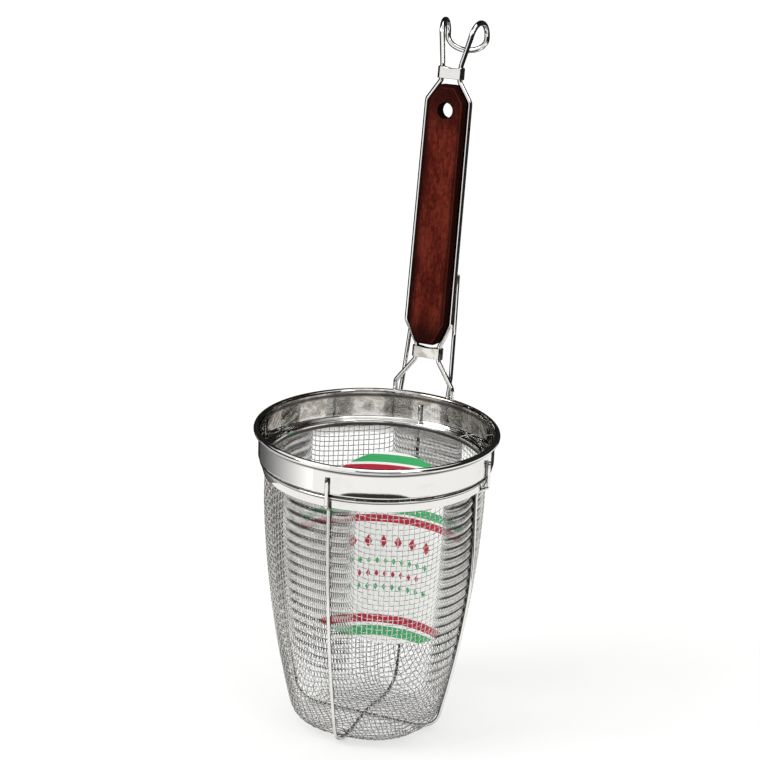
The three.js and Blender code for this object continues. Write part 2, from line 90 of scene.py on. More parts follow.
def colour(label, shade, words):
    return FloatVectorProperty(name=label, description=words, default=shade, subtype="COLOR", min=0, max=1)


class RimSettings(PropertyGroup):
    """Sizes of the rolled band and the clamp ring."""

    lip_tube: length("Lip tube", 1.8, "Radius of the tube that the lip is curled into")
    sheet: length("Sheet", 0.7, "Thickness of the sheet steel")
    wall_drop: length("Wall drop", 16.4, "From the lip's middle down to the ledge's underside")
    corner: length("Corner", 1.2, "Rounding of the band's lower edge")
    fillet: length("Fillet", 0.9, "Rounding inside the band, at the ledge")
    ring_bead: length("Ring bead", 0.45, "Radius of the bead along the clamp ring's head")
    ring_drop: length("Ring drop", 1.1, "How far the ring's bead stays below its top")
    slot: length("Slot", 2.6, "Width of the clamp ring's split, where the rear wire comes up")
    seam: angle("Seam", 60.0, "Where the band's butt weld is, round from the right")
    seam_depth: length("Seam depth", 0.27, "How far the weld is sunk in each face of the sheet")
    seam_width: length("Seam width", 1.0, "Width of the butt weld")
    fit_gap: length("Fit gap", 0.3, "Gap between pieces that meet")
    undercut: length("Undercut", 0.4, "Easing where the skirt meets the ledge")
    groove_half: length("Groove half", 0.5, "Half the width of the groove round the ledge")
    groove_depth: length("Groove depth", 0.25, "Depth of the groove round the ledge")
    ring_inset: length("Ring inset", 1.1, "How far the ring's head stays inside the band's wall")
    bead_height: length("Bead height", 1.35, "From the ring's head down to the foot of its bead")
    hem: length("Hem", 0.3, "Rounding of the ring's foot")


class ClothSettings(PropertyGroup):
    """Sizes of the woven cup."""

    pitch: length("Pitch", 3.1, "Distance between the wires of the flat cloth")
    wire: length("Wire", 0.50, "Thickness of the woven wire")
    thickness: length("Thickness", 0.9, "Thickness of the cloth")
    inset: length("Inset", 3.9, "How far the cup's mouth stays inside the band's wall")
    open_half: angle("Open zone", 23.0, "Half the width of each zone where the weave stays square")
    turn: angle("Turn", 36.5, "Where the first square zone faces, round from the front to the right")
    ease: length("Ease", 9.0, "How gently the rows turn from the square zones into the closed ones")
    bulge: length("Bulge", 1.0, "How far the cloth swells out between the support wires")
    pull_half: angle("Pull half", 11.0, "How far to each side the support wires draw the cloth in")
    contact: length("Contact", 1.4, "How far the shade beside the support wires reaches")
    side_contact: number("Side contact", 1.3, "How much further it reaches beside the right-hand wire")
    ridge: length("Ridge", 1.1, "Height of the ridges where the weave closes up")
    # Darker open weave low on the cup
    darkening: number("Stain", 0.34, "How much duller the open weave is low on the cup")
    wobble: length("Wobble", 0.07, "Unevenness of the weave")
    floor_radius: length("Floor radius", 28, "Where the cup's floor ends and its heel starts")
    heel_radius: length("Heel radius", 45, "Where the heel ends and the wall starts")
    heel_height: length("Heel height", 10, "Height of the heel")
    swell_height: length("Swell height", 83, "Where the wall's two tangents meet, above the floor")
    dent_rise: length("Dent rise", 2.3, "How far the floor's middle is pressed up over the crossed wires")
    dent_top: length("Dent top", 4.3, "Radius of the flat top of the dent")
    dent_foot: length("Dent foot", 23.7, "Radius where the dent runs out")


class WireSettings(PropertyGroup):
    """Sizes of the support wires."""

    radius: length("Radius", 1.0, "Radius of the support wires")
    outer_end_drop: length("Outer end", 6.8, "How far below the lip's middle the outer ends stop")
    inner_end_drop: length("Inner end", 5.2, "How far below the lip's middle the rear end stops")
    step_rise: length("Step rise", 2, "Where the wires step in, above the clamp ring's foot")
    step_drop: length("Step drop", 1.5, "Where the step ends, below the clamp ring's foot")
    step_in: length("Step in", 4, "Length of the step from the clamp ring in to the cup")
    pull: length("Pull", 2.8, "How far the wires draw the cloth in below the clamp ring")
    pull_low: length("Pull low", 85, "Height where the wires start to draw the cloth in")
    hump_top: length("Hump top", 2.6, "Half the flat top of the hump over the other wire")
    hump_foot: length("Hump foot", 22, "Where the hump starts, from the axis")
    bend: length("Bend", 2, "Bend radius")
    weld_length: length("Weld length", 5.5, "Length of each flattened, welded end")
    weld_width: number("Weld width", 1.04, "Width of a flattened end, over the wire's own")
    weld_height: number("Weld height", 0.92, "Thickness of a flattened end, over the wire's own")


class HandleSettings(PropertyGroup):
    """Sizes of the handle wire, its braces and its ferrules."""

    radius: length("Radius", 1.45, "Radius of the handle wire")
    brace_radius: length("Brace radius", 1.25, "Radius of the brace wires")
    leg_spread: length("Leg spread", 18, "Half the distance between the legs on the rim")
    leg_bend_rise: length("Leg bend", 6.5, "Where the legs turn in, above the lip's middle")
    foot_joggle: length("Foot joggle", 6, "Length of the joggle from the wall out past the lip")
    foot_rise: length("Foot rise", 1.2, "Bottom of the feet above the ledge's underside")
    bend: length("Bend", 4.5, "Bend radius of the handle wire")
    setback: length("Setback", 3.7, "Start of the side wires behind the legs")
    rise: length("Rise", 44.2, "Start of the side wires above the lip's middle")
    lean: angle("Lean", 6.95, "How far the handle leans back")
    side_spread: length("Side spread", 13.9, "Half the distance between the side wires, at their foot")
    side_spread_top: length("Side spread top", 13.2, "Half the distance between the side wires, at their top")
    side_length: length("Side length", 130.5, "Length of the side wires along the grip")
    ferrule_height: length("Ferrule height", 6.8, "Height of the ferrules")
    ferrule_overrun: length("Ferrule overrun", 1.2, "Straight wire beyond each ferrule")
    lower_spread: length("Lower spread", 7.2, "Half the distance between the wires in the lower ferrule")
    lower_taper: length("Lower taper", 15, "From the side wires' foot down to the lower ferrule")
    lower_setback: length("Lower setback", 2.6, "How far the lower ferrule lies behind the side wires")
    upper_spread: length("Upper spread", 5.7, "Half the distance between the wires in the upper ferrule")
    upper_taper: length("Upper taper", 12.6, "From the side wires' top up to the upper ferrule")
    hook_rise: length("Hook rise", 16.8, "From the upper ferrule up to the start of the hook's turn")
    hook_lean: length("Hook lean", 3.3, "How far the necks of the hook lean back")
    hook_neck_spread: length("Hook neck", 8.7, "Half the distance between the necks of the hook")
    hook_spread: length("Hook spread", 12.1, "Half the distance between the hook's two bends")
    hook_bend: length("Hook bend", 9.1, "Radius of the hook's turn")
    hook_swell: number("Hook swell", 0.12, "How much stouter the wire is in its hook")
    hook_reach: length("Hook reach", 48, "How far that goes from the middle of the rear loop")
    saddle_depth: length("Saddle depth", 7.8, "How far the hook's rear loop hangs down")
    brace_heel_rise: length("Brace heel rise", 11, "Heel of each brace above the lip's middle")
    brace_heel_setback: length("Brace heel setback", 5, "Heel of each brace behind the legs")
    brace_knee_rise: length("Brace knee rise", 37, "Knee of each brace above the lip's middle")
    brace_knee_setback: length("Brace knee setback", 9.9, "Knee of each brace behind the legs")
    brace_bend: length("Brace bend", 6, "Bend radius of the braces")
    brace_top: length("Brace top", 30, "Where the braces end, up along the side wires")
    brace_shift: length("Brace shift", 0.5, "How far the braces end outside the side wires")
    ferrule_pinch: length("Ferrule pinch", 0.55, "How far a ferrule is pressed in between its two wires")
    ferrule_edge: length("Ferrule edge", 0.22, "Easing of a ferrule's outer edges")
    ferrule_dip: length("Ferrule dip", 0.7, "How far a ferrule's edge is drawn down by its crimp")


class GripSettings(PropertyGroup):
    """Sizes of the wooden grip."""

    inset: length("Inset", 1.3, "How far the wood stays inside the middle of the side wires")
    thickness: length("Thickness", 10, "Thickness of the grip")
    bevel: length("Bevel", 2.6, "Rounding of the grip's long edges")
    corner: length("Corner", 3.6, "Rounding of the outline's corners")
    lower_gap: length("Lower gap", 2.2, "Space between the wood and the lower ferrule")
    upper_gap: length("Upper gap", 3.2, "Space between the wood and the upper ferrule")
    hole: length("Hang hole", 4.5, "Radius of the hang hole")
    hole_drop: length("Hole drop", 14.9, "Middle of the hang hole below the grip's upper end")
    countersink: length("Countersink", 0.7, "Rounding of the hang hole's edges")


class CardSettings(PropertyGroup):
    """Sizes of the loose card."""

    width: length("Width", 100, "Width of the card")
    bottom: length("Bottom", 26, "Height of the card's lower edge")
    top: length("Top", 144, "Height of the card's upper edge")
    corner: length("Corner", 48, "Radius of the card's corners")
    thickness: length("Thickness", 0.5, "Thickness of the card")
    turn: angle("Turn", 11.5, "How far the card is turned round the cup's axis")


class FinishSettings(PropertyGroup):
    """Colours of the finishes, and what little light they give off."""

    steel: colour("Steel", (0.80, 0.79, 0.77), "Polished sheet and wire")
    steel_stain: colour("Steel stain", (0.62, 0.60, 0.56), "Duller patches of the steel")
    # Painted dark reflection on the inward faces of the band
    steel_inside_reflection: colour("Steel inside", (0.40, 0.37, 0.33), "Stains on the inside of the band")
    steel_scuffed: colour("Scuffed steel", (0.93, 0.93, 0.91), "Matt inside of the clamp ring")
    # Painted shade in the steel's creases, beside its welded wires and on the wires' cup side; also burnt
    # welds
    shade_and_burn: colour("Grime", (0.030, 0.028, 0.025), "Dirt in the creases of the steel")
    cloth: colour("Cloth", (0.87, 0.86, 0.84), "Drawn wire of the weave")
    cloth_dull: colour("Dull cloth", (0.66, 0.65, 0.63), "Duller wires of the weave")
    # Painted shade of wire that dips, lies in a valley, runs beside a support wire or faces inward
    cloth_painted_shade: colour("Sunk cloth", (0.010, 0.009, 0.008), "Wire that dips or lies in a valley")
    wood: colour("Wood", (0.050, 0.0045, 0.0025), "Ground colour of the grip")
    # Also the painted highlight along the grip's right-hand bevel
    wood_light_and_highlight: colour("Light grain", (0.165, 0.025, 0.013), "Light streaks of the grain")
    # Also the painted shade on the grip's edges, in its hang hole and beside its wires
    wood_dark_and_shade: colour("Dark grain", (0.007, 0.0015, 0.0012), "Dark streaks of the grain and the edges")
    card: colour("Card", (0.92, 0.92, 0.90), "Bare card")
    card_green: colour("Green stripe", (0.045, 0.400, 0.130), "Wide stripes on the card")
    card_red: colour("Red stripe", (0.460, 0.013, 0.038), "Narrow stripes on the card")
    # Painted light: the card and the clamp ring's inside glow, though they are no lamps
    glow: number("Glow", 0.22, "Light of the card and of the clamp ring's inside")


class StageSettings(PropertyGroup):
    """Camera, lamps and floor."""

    azimuth: angle("Azimuth", 22.501, "Where the camera stands, round from the front to the right")
    elevation: angle("Elevation", 18.539, "How far the camera looks down")
    roll: angle("Roll", 2.2, "How far the camera is tipped round its line of sight")
    distance: length("Distance", 1250, "From the camera to the point it aims at")
    aim_depth: length("Aim depth", 1.5277, "The point aimed at, behind the cup's axis")
    aim_height: length("Aim height", 209.114, "The point aimed at, above the table")
    lens: FloatProperty(name="Lens", description="Focal length", default=105.115, unit="CAMERA")
    key: power("Key lamp", 100.0, "Large soft lamp, upper left in front")
    fill: power("Fill lamp", 30.0, "Soft lamp on the right")
    top: power("Top lamp", 24.0, "Soft lamp overhead")
    ambient: number("Ambient", 0.95, "Strength of the even light from all round")
    floor: colour("Floor", (0.39, 0.39, 0.39), "Pale floor")
    floor_cloud: colour("Floor cloud", (0.41, 0.41, 0.40), "Paler patches of the floor")


class StrainerSettings(PropertyGroup):
    """All the settings of the strainer."""

    rim: PointerProperty(type=RimSettings)
    cloth: PointerProperty(type=ClothSettings)
    wires: PointerProperty(type=WireSettings)
    handle: PointerProperty(type=HandleSettings)
    grip: PointerProperty(type=GripSettings)
    card: PointerProperty(type=CardSettings)
    finish: PointerProperty(type=FinishSettings)
    stage: PointerProperty(type=StageSettings)


# Shader maths


class Signal:
    """An output socket that takes part in plain arithmetic, each step of which adds a Math node."""

    def __init__(self, finish, socket):
        self.finish = finish
        self.socket = socket

    def math(self, operation, *others):
        sockets = dict(enumerate((self, *others)))
        return self.finish.node("ShaderNodeMath", {"operation": operation}, sockets)[0]

    def __add__(self, other):
        return self.math("ADD", other)

    __radd__ = __add__

    def __mul__(self, other):
        return self.math("MULTIPLY", other)

    __rmul__ = __mul__

    def __sub__(self, other):
        return self.math("SUBTRACT", other)

    def __rsub__(self, other):
        return self.math("MULTIPLY_ADD", -1.0, other)

    def __truediv__(self, other):
        return self.math("DIVIDE", other)

    def __gt__(self, other):
        return self.math("GREATER_THAN", other)

    def __lt__(self, other):
        return self.math("LESS_THAN", other)

    def __abs__(self):
        return self.math("ABSOLUTE")


class Outputs:
    """The outputs of one node, by name or number."""

    def __init__(self, finish, made):
        self.finish = finish
        self.made = made

    def __getitem__(self, key):
        return Signal(self.finish, self.made.outputs[key])


class Finish:
    """One material or world, and the nodes that make it."""

    def __init__(self, holder):
        self.holder = holder
        holder.use_nodes = True
        self.tree = holder.node_tree
        self.tree.nodes.clear()

    def node(self, kind, settings=None, sockets=None):
        made = self.tree.nodes.new(kind)
        for name, value in (settings or {}).items():
            setattr(made, name, value)
        for name, value in (sockets or {}).items():
            if isinstance(value, Signal):
                self.tree.links.new(value.socket, made.inputs[name])
            else:
                made.inputs[name].default_value = value
        return Outputs(self, made)

    def place(self, scale=(1, 1, 1), turn=(0, 0, 0)):
        """Object coordinates, turned and then scaled."""
        where = self.node("ShaderNodeTexCoord")["Object"]
        turned = self.node("ShaderNodeMapping", {}, {"Vector": where, "Rotation": turn})["Vector"]
        return self.node("ShaderNodeMapping", {}, {"Vector": turned, "Scale": scale})["Vector"]

    def noise(self, vector, detail=2.0, rough=0.5, distortion=0.0):
        sockets = {
            "Vector": vector, "Scale": 1.0, "Detail": detail, "Roughness": rough, "Distortion": distortion,
        }
        return self.node("ShaderNodeTexNoise", {}, sockets)["Fac"]

    def vector(self, operation, *vectors):
        return self.node("ShaderNodeVectorMath", {"operation": operation}, dict(enumerate(vectors)))

    def split(self, vector):
        return self.node("ShaderNodeSeparateXYZ", {}, {"Vector": vector})

    def facing(self):
        return self.node("ShaderNodeNewGeometry")["Normal"]

    def ramp(self, value, low, high):
        """0 below low, 1 above high, smooth between."""
        settings = {"interpolation_type": "SMOOTHSTEP"}
        sockets = {"Value": value, "From Min": low, "From Max": high}
        return self.node("ShaderNodeMapRange", settings, sockets)["Result"]

    def mix(self, factor, first, second):
        first = first if isinstance(first, Signal) else (*first, 1)
        second = second if isinstance(second, Signal) else (*second, 1)
        return self.node("ShaderNodeMix", {"data_type": "RGBA"}, {0: factor, 6: first, 7: second})[2]

    def bump(self, height, strength, distance):
        sockets = {"Height": height, "Strength": strength, "Distance": distance}
        return self.node("ShaderNodeBump", {}, sockets)["Normal"]

    def surface(self, **sockets):
        named = {}
        for name, value in sockets.items():
            named[name.replace("_", " ").title().replace("Ior", "IOR")] = value
        shader = self.node("ShaderNodeBsdfPrincipled", {}, named)["BSDF"]
        self.node("ShaderNodeOutputMaterial", {}, {"Surface": shader})
        return self.holder


def material(name, make, *values):
    """The named material, made once."""
    found = bpy.data.materials.get(name)
    return found or make(Finish(bpy.data.materials.new(name)), *values)


def strongest(*masks):
    """The largest of several signals."""
    largest = masks[0]
    for mask in masks[1:]:
        largest = largest.math("MAXIMUM", mask)
    return largest


def sheet_steel(finish, shades, size):
    """Rolled sheet: fine lines round the band, soft dull patches, painted dark reflection on the band's
    inside, painted shade in the creases and beside the welded wires, and a matt clamp ring inside with a
    painted glow.
    """
    where = finish.place()
    split = finish.split(where)
    height = split["Z"]
    flat = finish.vector("MULTIPLY", where, (1, 1, 0))["Vector"]
    reach = finish.vector("LENGTH", flat)["Value"]
    facing = finish.facing()
    inward = finish.vector("DOT_PRODUCT", facing, flat)["Value"] < 0
    above = finish.ramp(height, size.ledge_under + 2.0 * MM, size.ledge_under + 4.5 * MM)
    below = 1 - finish.ramp(height, size.ledge_under - 1.2 * MM, size.ledge_under - 0.6 * MM)

    def crease(radius, level, spread):
        """1 on a circle round the axis, fading over the given spread."""
        across = (reach - radius) * (reach - radius)
        up = (height - level) * (height - level)
        return 1 - finish.ramp((across + up).math("SQRT"), 0.35 * spread, spread)

    def near(distance):
        """1 close to a welded support wire."""
        return 1 - finish.ramp(abs(distance), 1.2 * MM, 1.9 * MM)

    # Painted shade: dark lines under the lip, under the band's lower edge and the ring's bead, on the lip's
    # curled underside, inside the skirt, in the closed space behind the ring, and beside the welded wires
    under_lip = crease(size.wall_outer + 0.2 * MM, size.lip_height - 1.8 * MM, 1.9 * MM)
    under_band = crease(size.wall_outer - 1.0 * MM, size.ledge_under - 0.2 * MM, 0.85 * MM)
    under_bead = crease(size.wall_outer - 1.4 * MM, size.bead_foot, 0.55 * MM)
    curled = (reach > size.wall_outer + 0.2 * MM) * (reach < RIM_HIGH.x + MM)
    curled = curled * finish.ramp(height, size.lip_height - 2.4 * MM, size.lip_height - 2.0 * MM)
    curled = curled * (1 - finish.ramp(finish.split(facing)["Z"], -0.62, -0.30))
    in_skirt = inward * below * (reach < size.mouth)
    enclosed = (reach > size.skirt_outer - 0.1 * MM) * (reach < size.wall_outer - 1.6 * MM)
    enclosed = enclosed * (height < size.ledge_under + 0.05 * MM)
    enclosed = enclosed * finish.ramp(height, RING_HIGH.z - 3.5 * MM, RING_HIGH.z - 3.0 * MM)
    beside = strongest(near(split["X"]) * (split["Y"] < 0), near(split["Y"])) * (1 - inward)
    beside = beside * (1 - finish.ramp(height, size.weld_top + 0.3 * MM, size.weld_top + 0.9 * MM))
    shade_and_burn = strongest(under_lip, under_band, under_bead, curled, in_skirt, enclosed, 0.9 * beside)

    lines = finish.noise(finish.place((30, 30, 5200)), 3.0, 0.6)
    patches = finish.noise(finish.place((42, 42, 60)), 3.0, 0.6)
    swirls = finish.noise(finish.place((95, 95, 120)), 3.0, 0.6, 0.8)
    specks = finish.noise(finish.place((900, 900, 900)), 2.0, 0.6)
    dull = finish.ramp(patches, 0.52, 0.74)
    # Painted dark reflection: above the ledge, the band's inward faces are darker, in swirls
    inside = inward * above * (1 - finish.ramp(reach, RIM_HIGH.x + 2.5 * MM, RIM_HIGH.x + 3.5 * MM))
    darkening = inside * (0.35 + 0.65 * finish.ramp(swirls, 0.40, 0.62))
    scuffed_and_glowing = inward * below * (reach > size.mouth)
    rough = 0.015 + 0.04 * dull + 0.02 * lines + 0.01 * specks + 0.3 * shade_and_burn + 0.6 * scuffed_and_glowing
    shade = finish.mix(dull * 0.4, shades.steel, shades.steel_stain)
    shade = finish.mix(darkening, shade, shades.steel_inside_reflection)
    shade = finish.mix(scuffed_and_glowing, shade, shades.steel_scuffed)
    shade = finish.mix(shade_and_burn * 0.92, shade, shades.shade_and_burn)
    return finish.surface(
        base_color=shade,
        metallic=1 - 0.9 * scuffed_and_glowing,
        roughness=rough,
        normal=finish.bump(lines * 0.06 + inside * swirls * 3.0, 0.4, 0.05 * MM),
        # Painted light: the clamp ring's matt inside glows white, so that it reads bright
        emission_color=finish.mix(scuffed_and_glowing, (0, 0, 0), (1, 1, 1)),
        emission_strength=shades.glow,
    )


def drawn_wire(finish, shades):
    """Thick bright wire: drawing marks, dull patches, burnt welds, and painted shade on the side that faces
    the cup and near the floor.
    """
    where = finish.place()
    split = finish.split(where)
    height = split["Z"]
    facing = finish.facing()
    flat = finish.vector("MULTIPLY", where, (1, 1, 0))["Vector"]
    outward = finish.vector("NORMALIZE", flat)["Vector"]
    turned = finish.vector("DOT_PRODUCT", facing, outward)["Value"]
    tilt = finish.split(facing)["Z"]
    marks = finish.noise(finish.place((1500, 1500, 110)), 3.0, 0.6)
    patches = finish.noise(finish.place((70, 70, 45)), 3.0, 0.6)
    spots = finish.noise(finish.place((620, 620, 520)), 2.0, 0.5)
    dull = finish.ramp(patches, 0.54, 0.75)

    # Painted shade on the side of the wires that faces the cup, on their low runs and on the front bend near
    # the floor
    floor = 1 - finish.ramp(height, 3 * MM, 9 * MM)
    middle = 1 - finish.ramp(abs(split["X"]), 3 * MM, 5 * MM)
    cup_side_shade = strongest(
        (1 - floor) * (1 - finish.ramp(turned - 0.6 * middle, -0.45, -0.05)),
        floor * finish.ramp(abs(tilt), 0.2, 0.6),
        0.8 * middle * (1 - finish.ramp(height, 1.2 * MM, 3.2 * MM)),
    )
    cup_side_shade = cup_side_shade * (1 - finish.ramp(height, RING_LOW.z - 3 * MM, RING_LOW.z))
    welded = finish.ramp(height, RIM_HIGH.z - 13.0 * MM, RIM_HIGH.z - 11.5 * MM)
    welded = welded * (1 - finish.ramp(height, RIM_HIGH.z - 7.5 * MM, RIM_HIGH.z - 6.5 * MM))
    shade_and_burn = strongest(cup_side_shade, welded * finish.ramp(spots, 0.47, 0.53))
    rubbed = middle * finish.ramp(height, RING_LOW.z - 65 * MM, RING_LOW.z - 45 * MM)
    rubbed = rubbed * (1 - finish.ramp(height, RING_LOW.z - 1.0 * MM, RING_LOW.z + 1.0 * MM))
    shade = finish.mix(dull * 0.55, shades.steel, shades.steel_stain)
    return finish.surface(
        base_color=finish.mix(shade_and_burn * 0.92, shade, shades.shade_and_burn),
        metallic=1.0,
        roughness=0.03 + 0.06 * dull + 0.03 * marks + 0.3 * shade_and_burn + 0.4 * rubbed,
        normal=finish.bump(marks, 0.06, 0.05 * MM),
    )


def woven_wire(finish, shades):
    """Thin wire of the cloth: bright with wear where it passes over, painted shade where it passes under, in
    the valleys, beside the support wires and on its inward side, and uneven along its run.
    """
    stretches = finish.noise(finish.place((260, 260, 260)), 3.0, 0.65)
    patches = finish.noise(finish.place((36, 36, 24)), 2.0, 0.5)
    dull = finish.ramp(stretches * 0.6 + patches * 0.4, 0.40, 0.66)
    crown = finish.node("ShaderNodeAttribute", {"attribute_name": "crown"})["Fac"]
    # Painted shade: points with a low value turn nearly black
    sunk = 1 - finish.ramp(crown, 0.0, 0.66)
    shade = finish.mix(dull, shades.cloth, shades.cloth_dull)
    shade = finish.mix(sunk, shade, shades.cloth_painted_shade)
    return finish.surface(base_color=shade, metallic=1.0, roughness=0.16 + 0.14 * dull)


def lacquered_wood(finish, shades, lean):
    """Dark red-brown hardwood: flecked grain, short pores, painted shade on the edges, in the hang hole and
    beside the wires, darker ends, a thin painted highlight along the right-hand bevel, lacquer.
    """
    upright = (lean, 0, 0)
    streaks = finish.noise(finish.place((520, 300, 40), upright), 4.0, 0.62, 0.25)
    flecks = finish.noise(finish.place((760, 480, 320), upright), 4.0, 0.65, 0.4)
    patches = finish.noise(finish.place((95, 70, 30), upright), 3.0, 0.55, 0.5)
    pores = finish.noise(finish.place((2400, 1500, 150), upright), 2.0, 0.55)
    specks = finish.noise(finish.place((2600, 1800, 1400), upright), 2.0, 0.6)
    light = finish.ramp(streaks * 0.15 + flecks * 0.45 + patches * 0.40, 0.40, 0.64)
    light = light * (0.75 + 0.5 * finish.ramp(specks, 0.40, 0.66))
    pore = finish.ramp(pores, 0.60, 0.70)
    facing = finish.facing()
    front = Vector((0, math.cos(lean), -math.sin(lean)))
    turned = abs(finish.vector("DOT_PRODUCT", facing, front)["Value"])
    split = finish.split(finish.place())
    upper = finish.ramp(split["Z"], GRIP_HIGH.z - 34 * MM, GRIP_HIGH.z - 6 * MM)
    lower = 1 - finish.ramp(split["Z"], GRIP_LOW.z + 3 * MM, GRIP_LOW.z + 26 * MM)
    beside = finish.ramp(abs(split["X"]), 6.8 * MM, 10.6 * MM)
    # Painted shade on faces turned away from the front, in the hang hole and beside the wires' grooves; the
    # grip is also darker towards both ends
    dark = strongest(1 - finish.ramp(turned, 0.88, 0.99), upper * 0.84 + lower * 0.9, beside * 0.9)
    # Painted highlight: a thin light line along the right-hand bevel's edge
    wear_and_painted_light = finish.ramp(turned, 0.95, 0.975) * (1 - finish.ramp(turned, 0.985, 0.998))
    wear_and_painted_light = wear_and_painted_light * (finish.split(facing)["X"] > 0)
    grain = finish.mix(light, shades.wood, shades.wood_light_and_highlight)
    shade = finish.mix(pore * 0.6, grain, shades.wood_dark_and_shade)
    shade = finish.mix(dark * 0.95, shade, shades.wood_dark_and_shade)
    shade = finish.mix(wear_and_painted_light * 0.4, shade, shades.wood_light_and_highlight)
    return finish.surface(
        base_color=shade,
        roughness=0.36 + 0.16 * flecks + 0.12 * pore + 0.4 * dark,
        normal=finish.bump(streaks * 0.5 - pore * 0.6, 0.35, 0.12 * MM),
        specular_ior_level=0.02,
        coat_weight=0.02,
        coat_roughness=0.12,
    )


def printed_card(finish, shades, card):
    """White card with straight stripes and a few rows of small lozenges."""
    split = finish.split(finish.place((1, 1, 1), (0, 0, -card.turn)))
    across = split["X"]
    up = split["Z"]

    top = card.top
    bottom = card.bottom
    middle = (top + bottom) / 2

    def band(low, high):
        return (up > low) * (up < high)

    def lozenges(level, step, reach):
        """A row of small lozenges along the card."""
        cell = abs((across / step).math("FRACT") - 0.5)
        rise = abs(up - level) / step
        return ((cell + rise * 0.6) < 0.27) * (abs(across) < reach)

    green = band(top - 6.5 * MM, top - 1.5 * MM) + band(bottom + 4 * MM, bottom + 10 * MM)
    green = green + band(middle + 21 * MM, middle + 26 * MM)
    green = green + lozenges(middle - 9 * MM, 5 * MM, 25 * MM) + lozenges(middle - 25 * MM, 5 * MM, 25 * MM)
    red = band(top - 12 * MM, top - 8 * MM) + band(bottom + 12 * MM, bottom + 17 * MM)
    red = red + band(middle + 15 * MM, middle + 19.5 * MM)
    red = red + lozenges(middle + 3 * MM, 9 * MM, 27 * MM) + lozenges(middle - 17 * MM, 5 * MM, 20 * MM)
    shade = finish.mix(green, shades.card, shades.card_green)
    shade = finish.mix(red, shade, shades.card_red)
    fibres = finish.noise(finish.place((1200, 1200, 1200)), 4.0, 0.65)
    return finish.surface(
        base_color=shade,
        roughness=0.55 + 0.2 * fibres,
        normal=finish.bump(fibres, 0.15, 0.05 * MM),
        # Painted light: the card glows in its own colour, so that it stays bright in the cup's shade
        emission_color=shade,
        emission_strength=shades.glow,
    )


# Shapes


class Shell:
    """Points and faces that become one mesh object."""

    def __init__(self):
        self.points = []
        self.faces = []
        self.total = 0

    def grid(self, points, wrap_rows=False, wrap_columns=True):
        """Faces between neighbouring rows and columns of points; returns the points' numbers."""
        rows, columns = points.shape[:2]
        numbers = self.total + np.arange(rows * columns).reshape(rows, columns)
        self.points.append(points.reshape(-1, 3))
        self.total += rows * columns
        here = numbers if wrap_rows else numbers[:-1]
        below = np.roll(numbers, -1, axis=0) if wrap_rows else numbers[1:]
        if wrap_columns:
            corners = (here, np.roll(here, -1, axis=1), np.roll(below, -1, axis=1), below)
        else:
            corners = (here[:, :-1], here[:, 1:], below[:, 1:], below[:, :-1])
        self.faces.extend(np.stack(corners, axis=-1).reshape(-1, 4).tolist())
        return numbers

    def cap(self, ring):
        self.faces.append(ring.tolist())

    def tube(self, rings):
        """A closed round bar through the given rings of points."""
        numbers = self.grid(rings)
        self.cap(numbers[0])
        self.cap(numbers[-1])

    def place(self, name, finish, sharp=40):
        """The object, with smooth faces and any edge sharper than the given angle left crisp."""
        shape = bpy.data.meshes.new(name)
        shape.from_pydata(np.concatenate(self.points).tolist(), [], self.faces)
        work = bmesh.new()
        work.from_mesh(shape)
        bmesh.ops.recalc_face_normals(work, faces=work.faces)
        work.to_mesh(shape)
        work.free()
        shape.shade_smooth()
        shape.set_sharp_from_angle(angle=math.radians(sharp))
        shape.materials.append(finish)
        placed = bpy.data.objects.new(name, shape)
        bpy.context.scene.collection.objects.link(placed)
        return placed

    def make(self, name, finish, slot, *nodes, sharp=40):
        """A piece that rides on the strainer and stands for its CAD nodes."""
        piece = self.place(name, finish, sharp)
        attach(piece, BODY)
        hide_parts(*nodes)
        return piece


def unit(vectors):
    return vectors / np.linalg.norm(vectors, axis=-1, keepdims=True)


def smooth(values, low, high):
    """0 below low, 1 above high, smooth between."""
    share = np.clip((values - low) / (high - low), 0, 1)
    return share * share * (3 - 2 * share)


def bezier(start, corner, end, steps):
    share = np.linspace(0, 1, steps + 1)[:, None]
    start, corner, end = (np.asarray(point, float) for point in (start, corner, end))
    return (1 - share) ** 2 * start + 2 * share * (1 - share) * corner + share ** 2 * end


def bent(corners, radius, steps=10, share=0.45):
    """A run of points with every inner corner rounded."""
    corners = [np.asarray(corner, float) for corner in corners]
    stations = [corners[0][None]]
    for before, here, after in zip(corners, corners[1:], corners[2:]):
        back = before - here
        ahead = after - here
        spread = math.acos(np.clip(np.dot(unit(back), unit(ahead)), -1, 1))
        wanted = radius / math.tan(spread / 2)
        reach = min(wanted, share * np.linalg.norm(back), share * np.linalg.norm(ahead))
        stations.append(bezier(here + unit(back) * reach, here, here + unit(ahead) * reach, steps))
    stations.append(corners[-1][None])
    return np.concatenate(stations)


def arc(centre, radius, start, end, steps):
    turns = np.linspace(start, end, steps + 1)
    return np.column_stack([centre[0] + radius * np.cos(turns), centre[1] + radius * np.sin(turns)])


def offset(profile, distance):
    """Each profile point moved along its outward normal."""
    along = unit(np.gradient(profile, axis=0))
    return profile + distance * np.column_stack([along[:, 1], -along[:, 0]])


def travelled(path):
    """How far along its run each point is."""
    steps = np.linalg.norm(np.diff(path, axis=0), axis=1)
    return np.concatenate([[0], np.cumsum(steps)])


def thinned(path, least):
    """The path without points that repeat their neighbour."""
    keep = np.concatenate([[True], np.linalg.norm(np.diff(path, axis=0), axis=1) > least])
    return path[keep]


